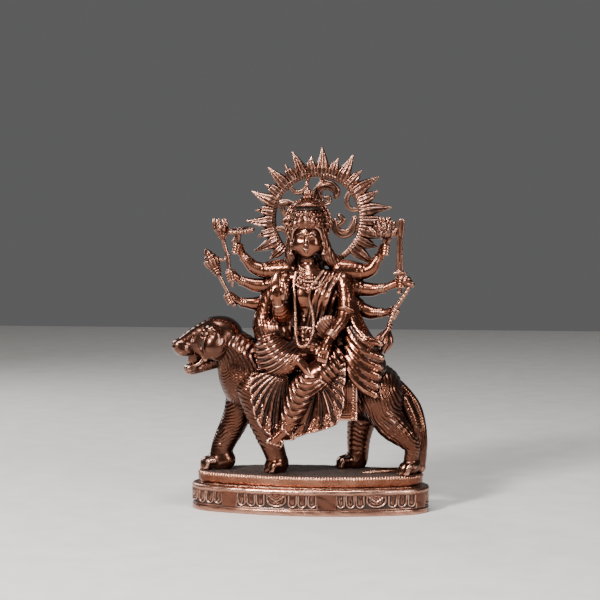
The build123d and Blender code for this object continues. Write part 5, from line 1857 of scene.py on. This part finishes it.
# Each copper finish: its colour before rubbing, its roughness and how far its crests are brightened by
# rubbing, partly real wear and partly a painted highlight.
FINISHES = {
    "plinth_copper": dict(base=(0.15, 0.053, 0.031, 1), shine=0.22, rub_and_highlight=0.42, pitting=0.00008),
    "lion_copper": dict(base=(0.100, 0.034, 0.018, 1), shine=0.21, rub_and_highlight=0.55),
    "bright_copper": dict(base=SKIN, shine=0.16, rub_and_highlight=0.6),
    "cloth_copper": dict(base=(0.20, 0.070, 0.040, 1), shine=0.15, rub_and_highlight=0.75),
    "skin_copper": dict(base=SKIN, shine=0.17, rub_and_highlight=0.4, grime=0.75),
    "hair_copper": dict(base=(0.12, 0.041, 0.022, 1), shine=0.26, rub_and_highlight=0.3),
    "ornament_copper": dict(base=COPPER, shine=0.22, rub_and_highlight=0.14),
    "attribute_copper": dict(base=(0.14, 0.050, 0.030, 1), shine=0.22, rub_and_highlight=0.2),
    "halo_copper": dict(base=(0.074, 0.029, 0.019, 1), shine=0.24, rub_and_highlight=0.18),
}


def make_materials():
    materials = {name: aged_copper(name, **finish) for name, finish in FINISHES.items()}
    others = {"deck_copper": stippled_deck, "steel_fixings": steel, "cover_paint": painted_cover}
    return {**materials, **{name: make(name) for name, make in others.items()}}


# ---------------------------------------------------------------- putting it together
def make_pieces():
    slot_of = {row["node"]: row["material_slot"] for row in frame["record"]["subparts"]}
    materials = make_materials()
    with ThreadPoolExecutor(THREADS) as pool:
        jobs = {
            name: pool.submit(lambda make, step: sculpt(make(), step), *plan)
            for name, plan in SCULPTED.items()
        }
        found = {name: job.result() for name, job in jobs.items()}
    found.update({name: make() for name, make in SWEPT.items()})
    room = fill_room(found.values())
    near, wide = (box_blur(room, reach) for reach in ROOM_REACHES)
    for name, result in found.items():
        piece = add_mesh(name + "_cast", result, patina_of(result, near, wide))
        piece.data.materials.append(materials[slot_of[name]])
        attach(piece, "root")
        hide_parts(name)
    for name, node in frame["nodes"].items():
        if name not in found:
            for place in node.material_slots:
                place.material = materials[slot_of[name]]


def add_floor():
    bpy.ops.mesh.primitive_plane_add(size=3.0, location=(0, 0, 0))
    floor = bpy.context.object
    floor.name = "floor"
    floor.data.materials.append(floor_material("floor_grey"))


def add_light(name, place, aim, size, power, colour=(1, 1, 1)):
    lamp = bpy.data.lights.new(name, "AREA")
    lamp.shape = "RECTANGLE"
    lamp.size, lamp.size_y = size
    lamp.energy = power
    lamp.color = colour
    lamp_object = bpy.data.objects.new(name, lamp)
    bpy.context.scene.collection.objects.link(lamp_object)
    point_at(lamp_object, place, aim)


def point_at(thing, place, aim):
    thing.location = place
    thing.rotation_mode = "QUATERNION"
    thing.rotation_quaternion = (Vector(aim) - Vector(place)).to_track_quat("-Z", "Y")


LIT_POINT = (0, 0, 0.13)  # every lamp points here, in metres
WORLD_COLOUR, WORLD_STRENGTH = (0.75, 0.75, 0.76, 1), 0.15


def add_lights():
    add_light("key", (-0.45, -0.85, 0.75), LIT_POINT, (0.18, 0.18), 33, (1, 0.97, 0.93))
    add_light("fill", (0.75, -0.75, 0.45), LIT_POINT, (0.22, 0.36), 7, (1, 0.97, 0.94))
    add_light("top", (0.05, -0.25, 1.0), LIT_POINT, (0.3, 0.22), 8)
    add_light("rim", (-0.6, 0.5, 0.5), LIT_POINT, (0.25, 0.5), 4)
    world = bpy.data.worlds.new("studio")
    world.use_nodes = True
    world.node_tree.nodes["Background"].inputs["Color"].default_value = WORLD_COLOUR
    world.node_tree.nodes["Background"].inputs["Strength"].default_value = WORLD_STRENGTH
    bpy.context.scene.world = world


CAMERA_TURN, CAMERA_RISE = math.radians(7), math.radians(3.6)
CAMERA_DISTANCE = 1.2
CAMERA_AIM = (-0.00664, 0.0, 0.13748)
SENSOR, LENS = 36, 109.92  # millimetres


def add_camera():
    """Nearly straight on, a little from the right and a little above the plinth."""
    aim = np.array(CAMERA_AIM)
    back = np.array([
        math.sin(CAMERA_TURN) * math.cos(CAMERA_RISE),
        -math.cos(CAMERA_TURN) * math.cos(CAMERA_RISE),
        math.sin(CAMERA_RISE),
    ])
    data = bpy.data.cameras.new("camera")
    data.sensor_width = SENSOR
    data.lens = LENS
    camera = bpy.data.objects.new("camera", data)
    bpy.context.scene.collection.objects.link(camera)
    point_at(camera, tuple(aim + back * CAMERA_DISTANCE), CAMERA_AIM)
    bpy.context.scene.camera = camera


make_pieces()
add_floor()
add_lights()
add_camera()
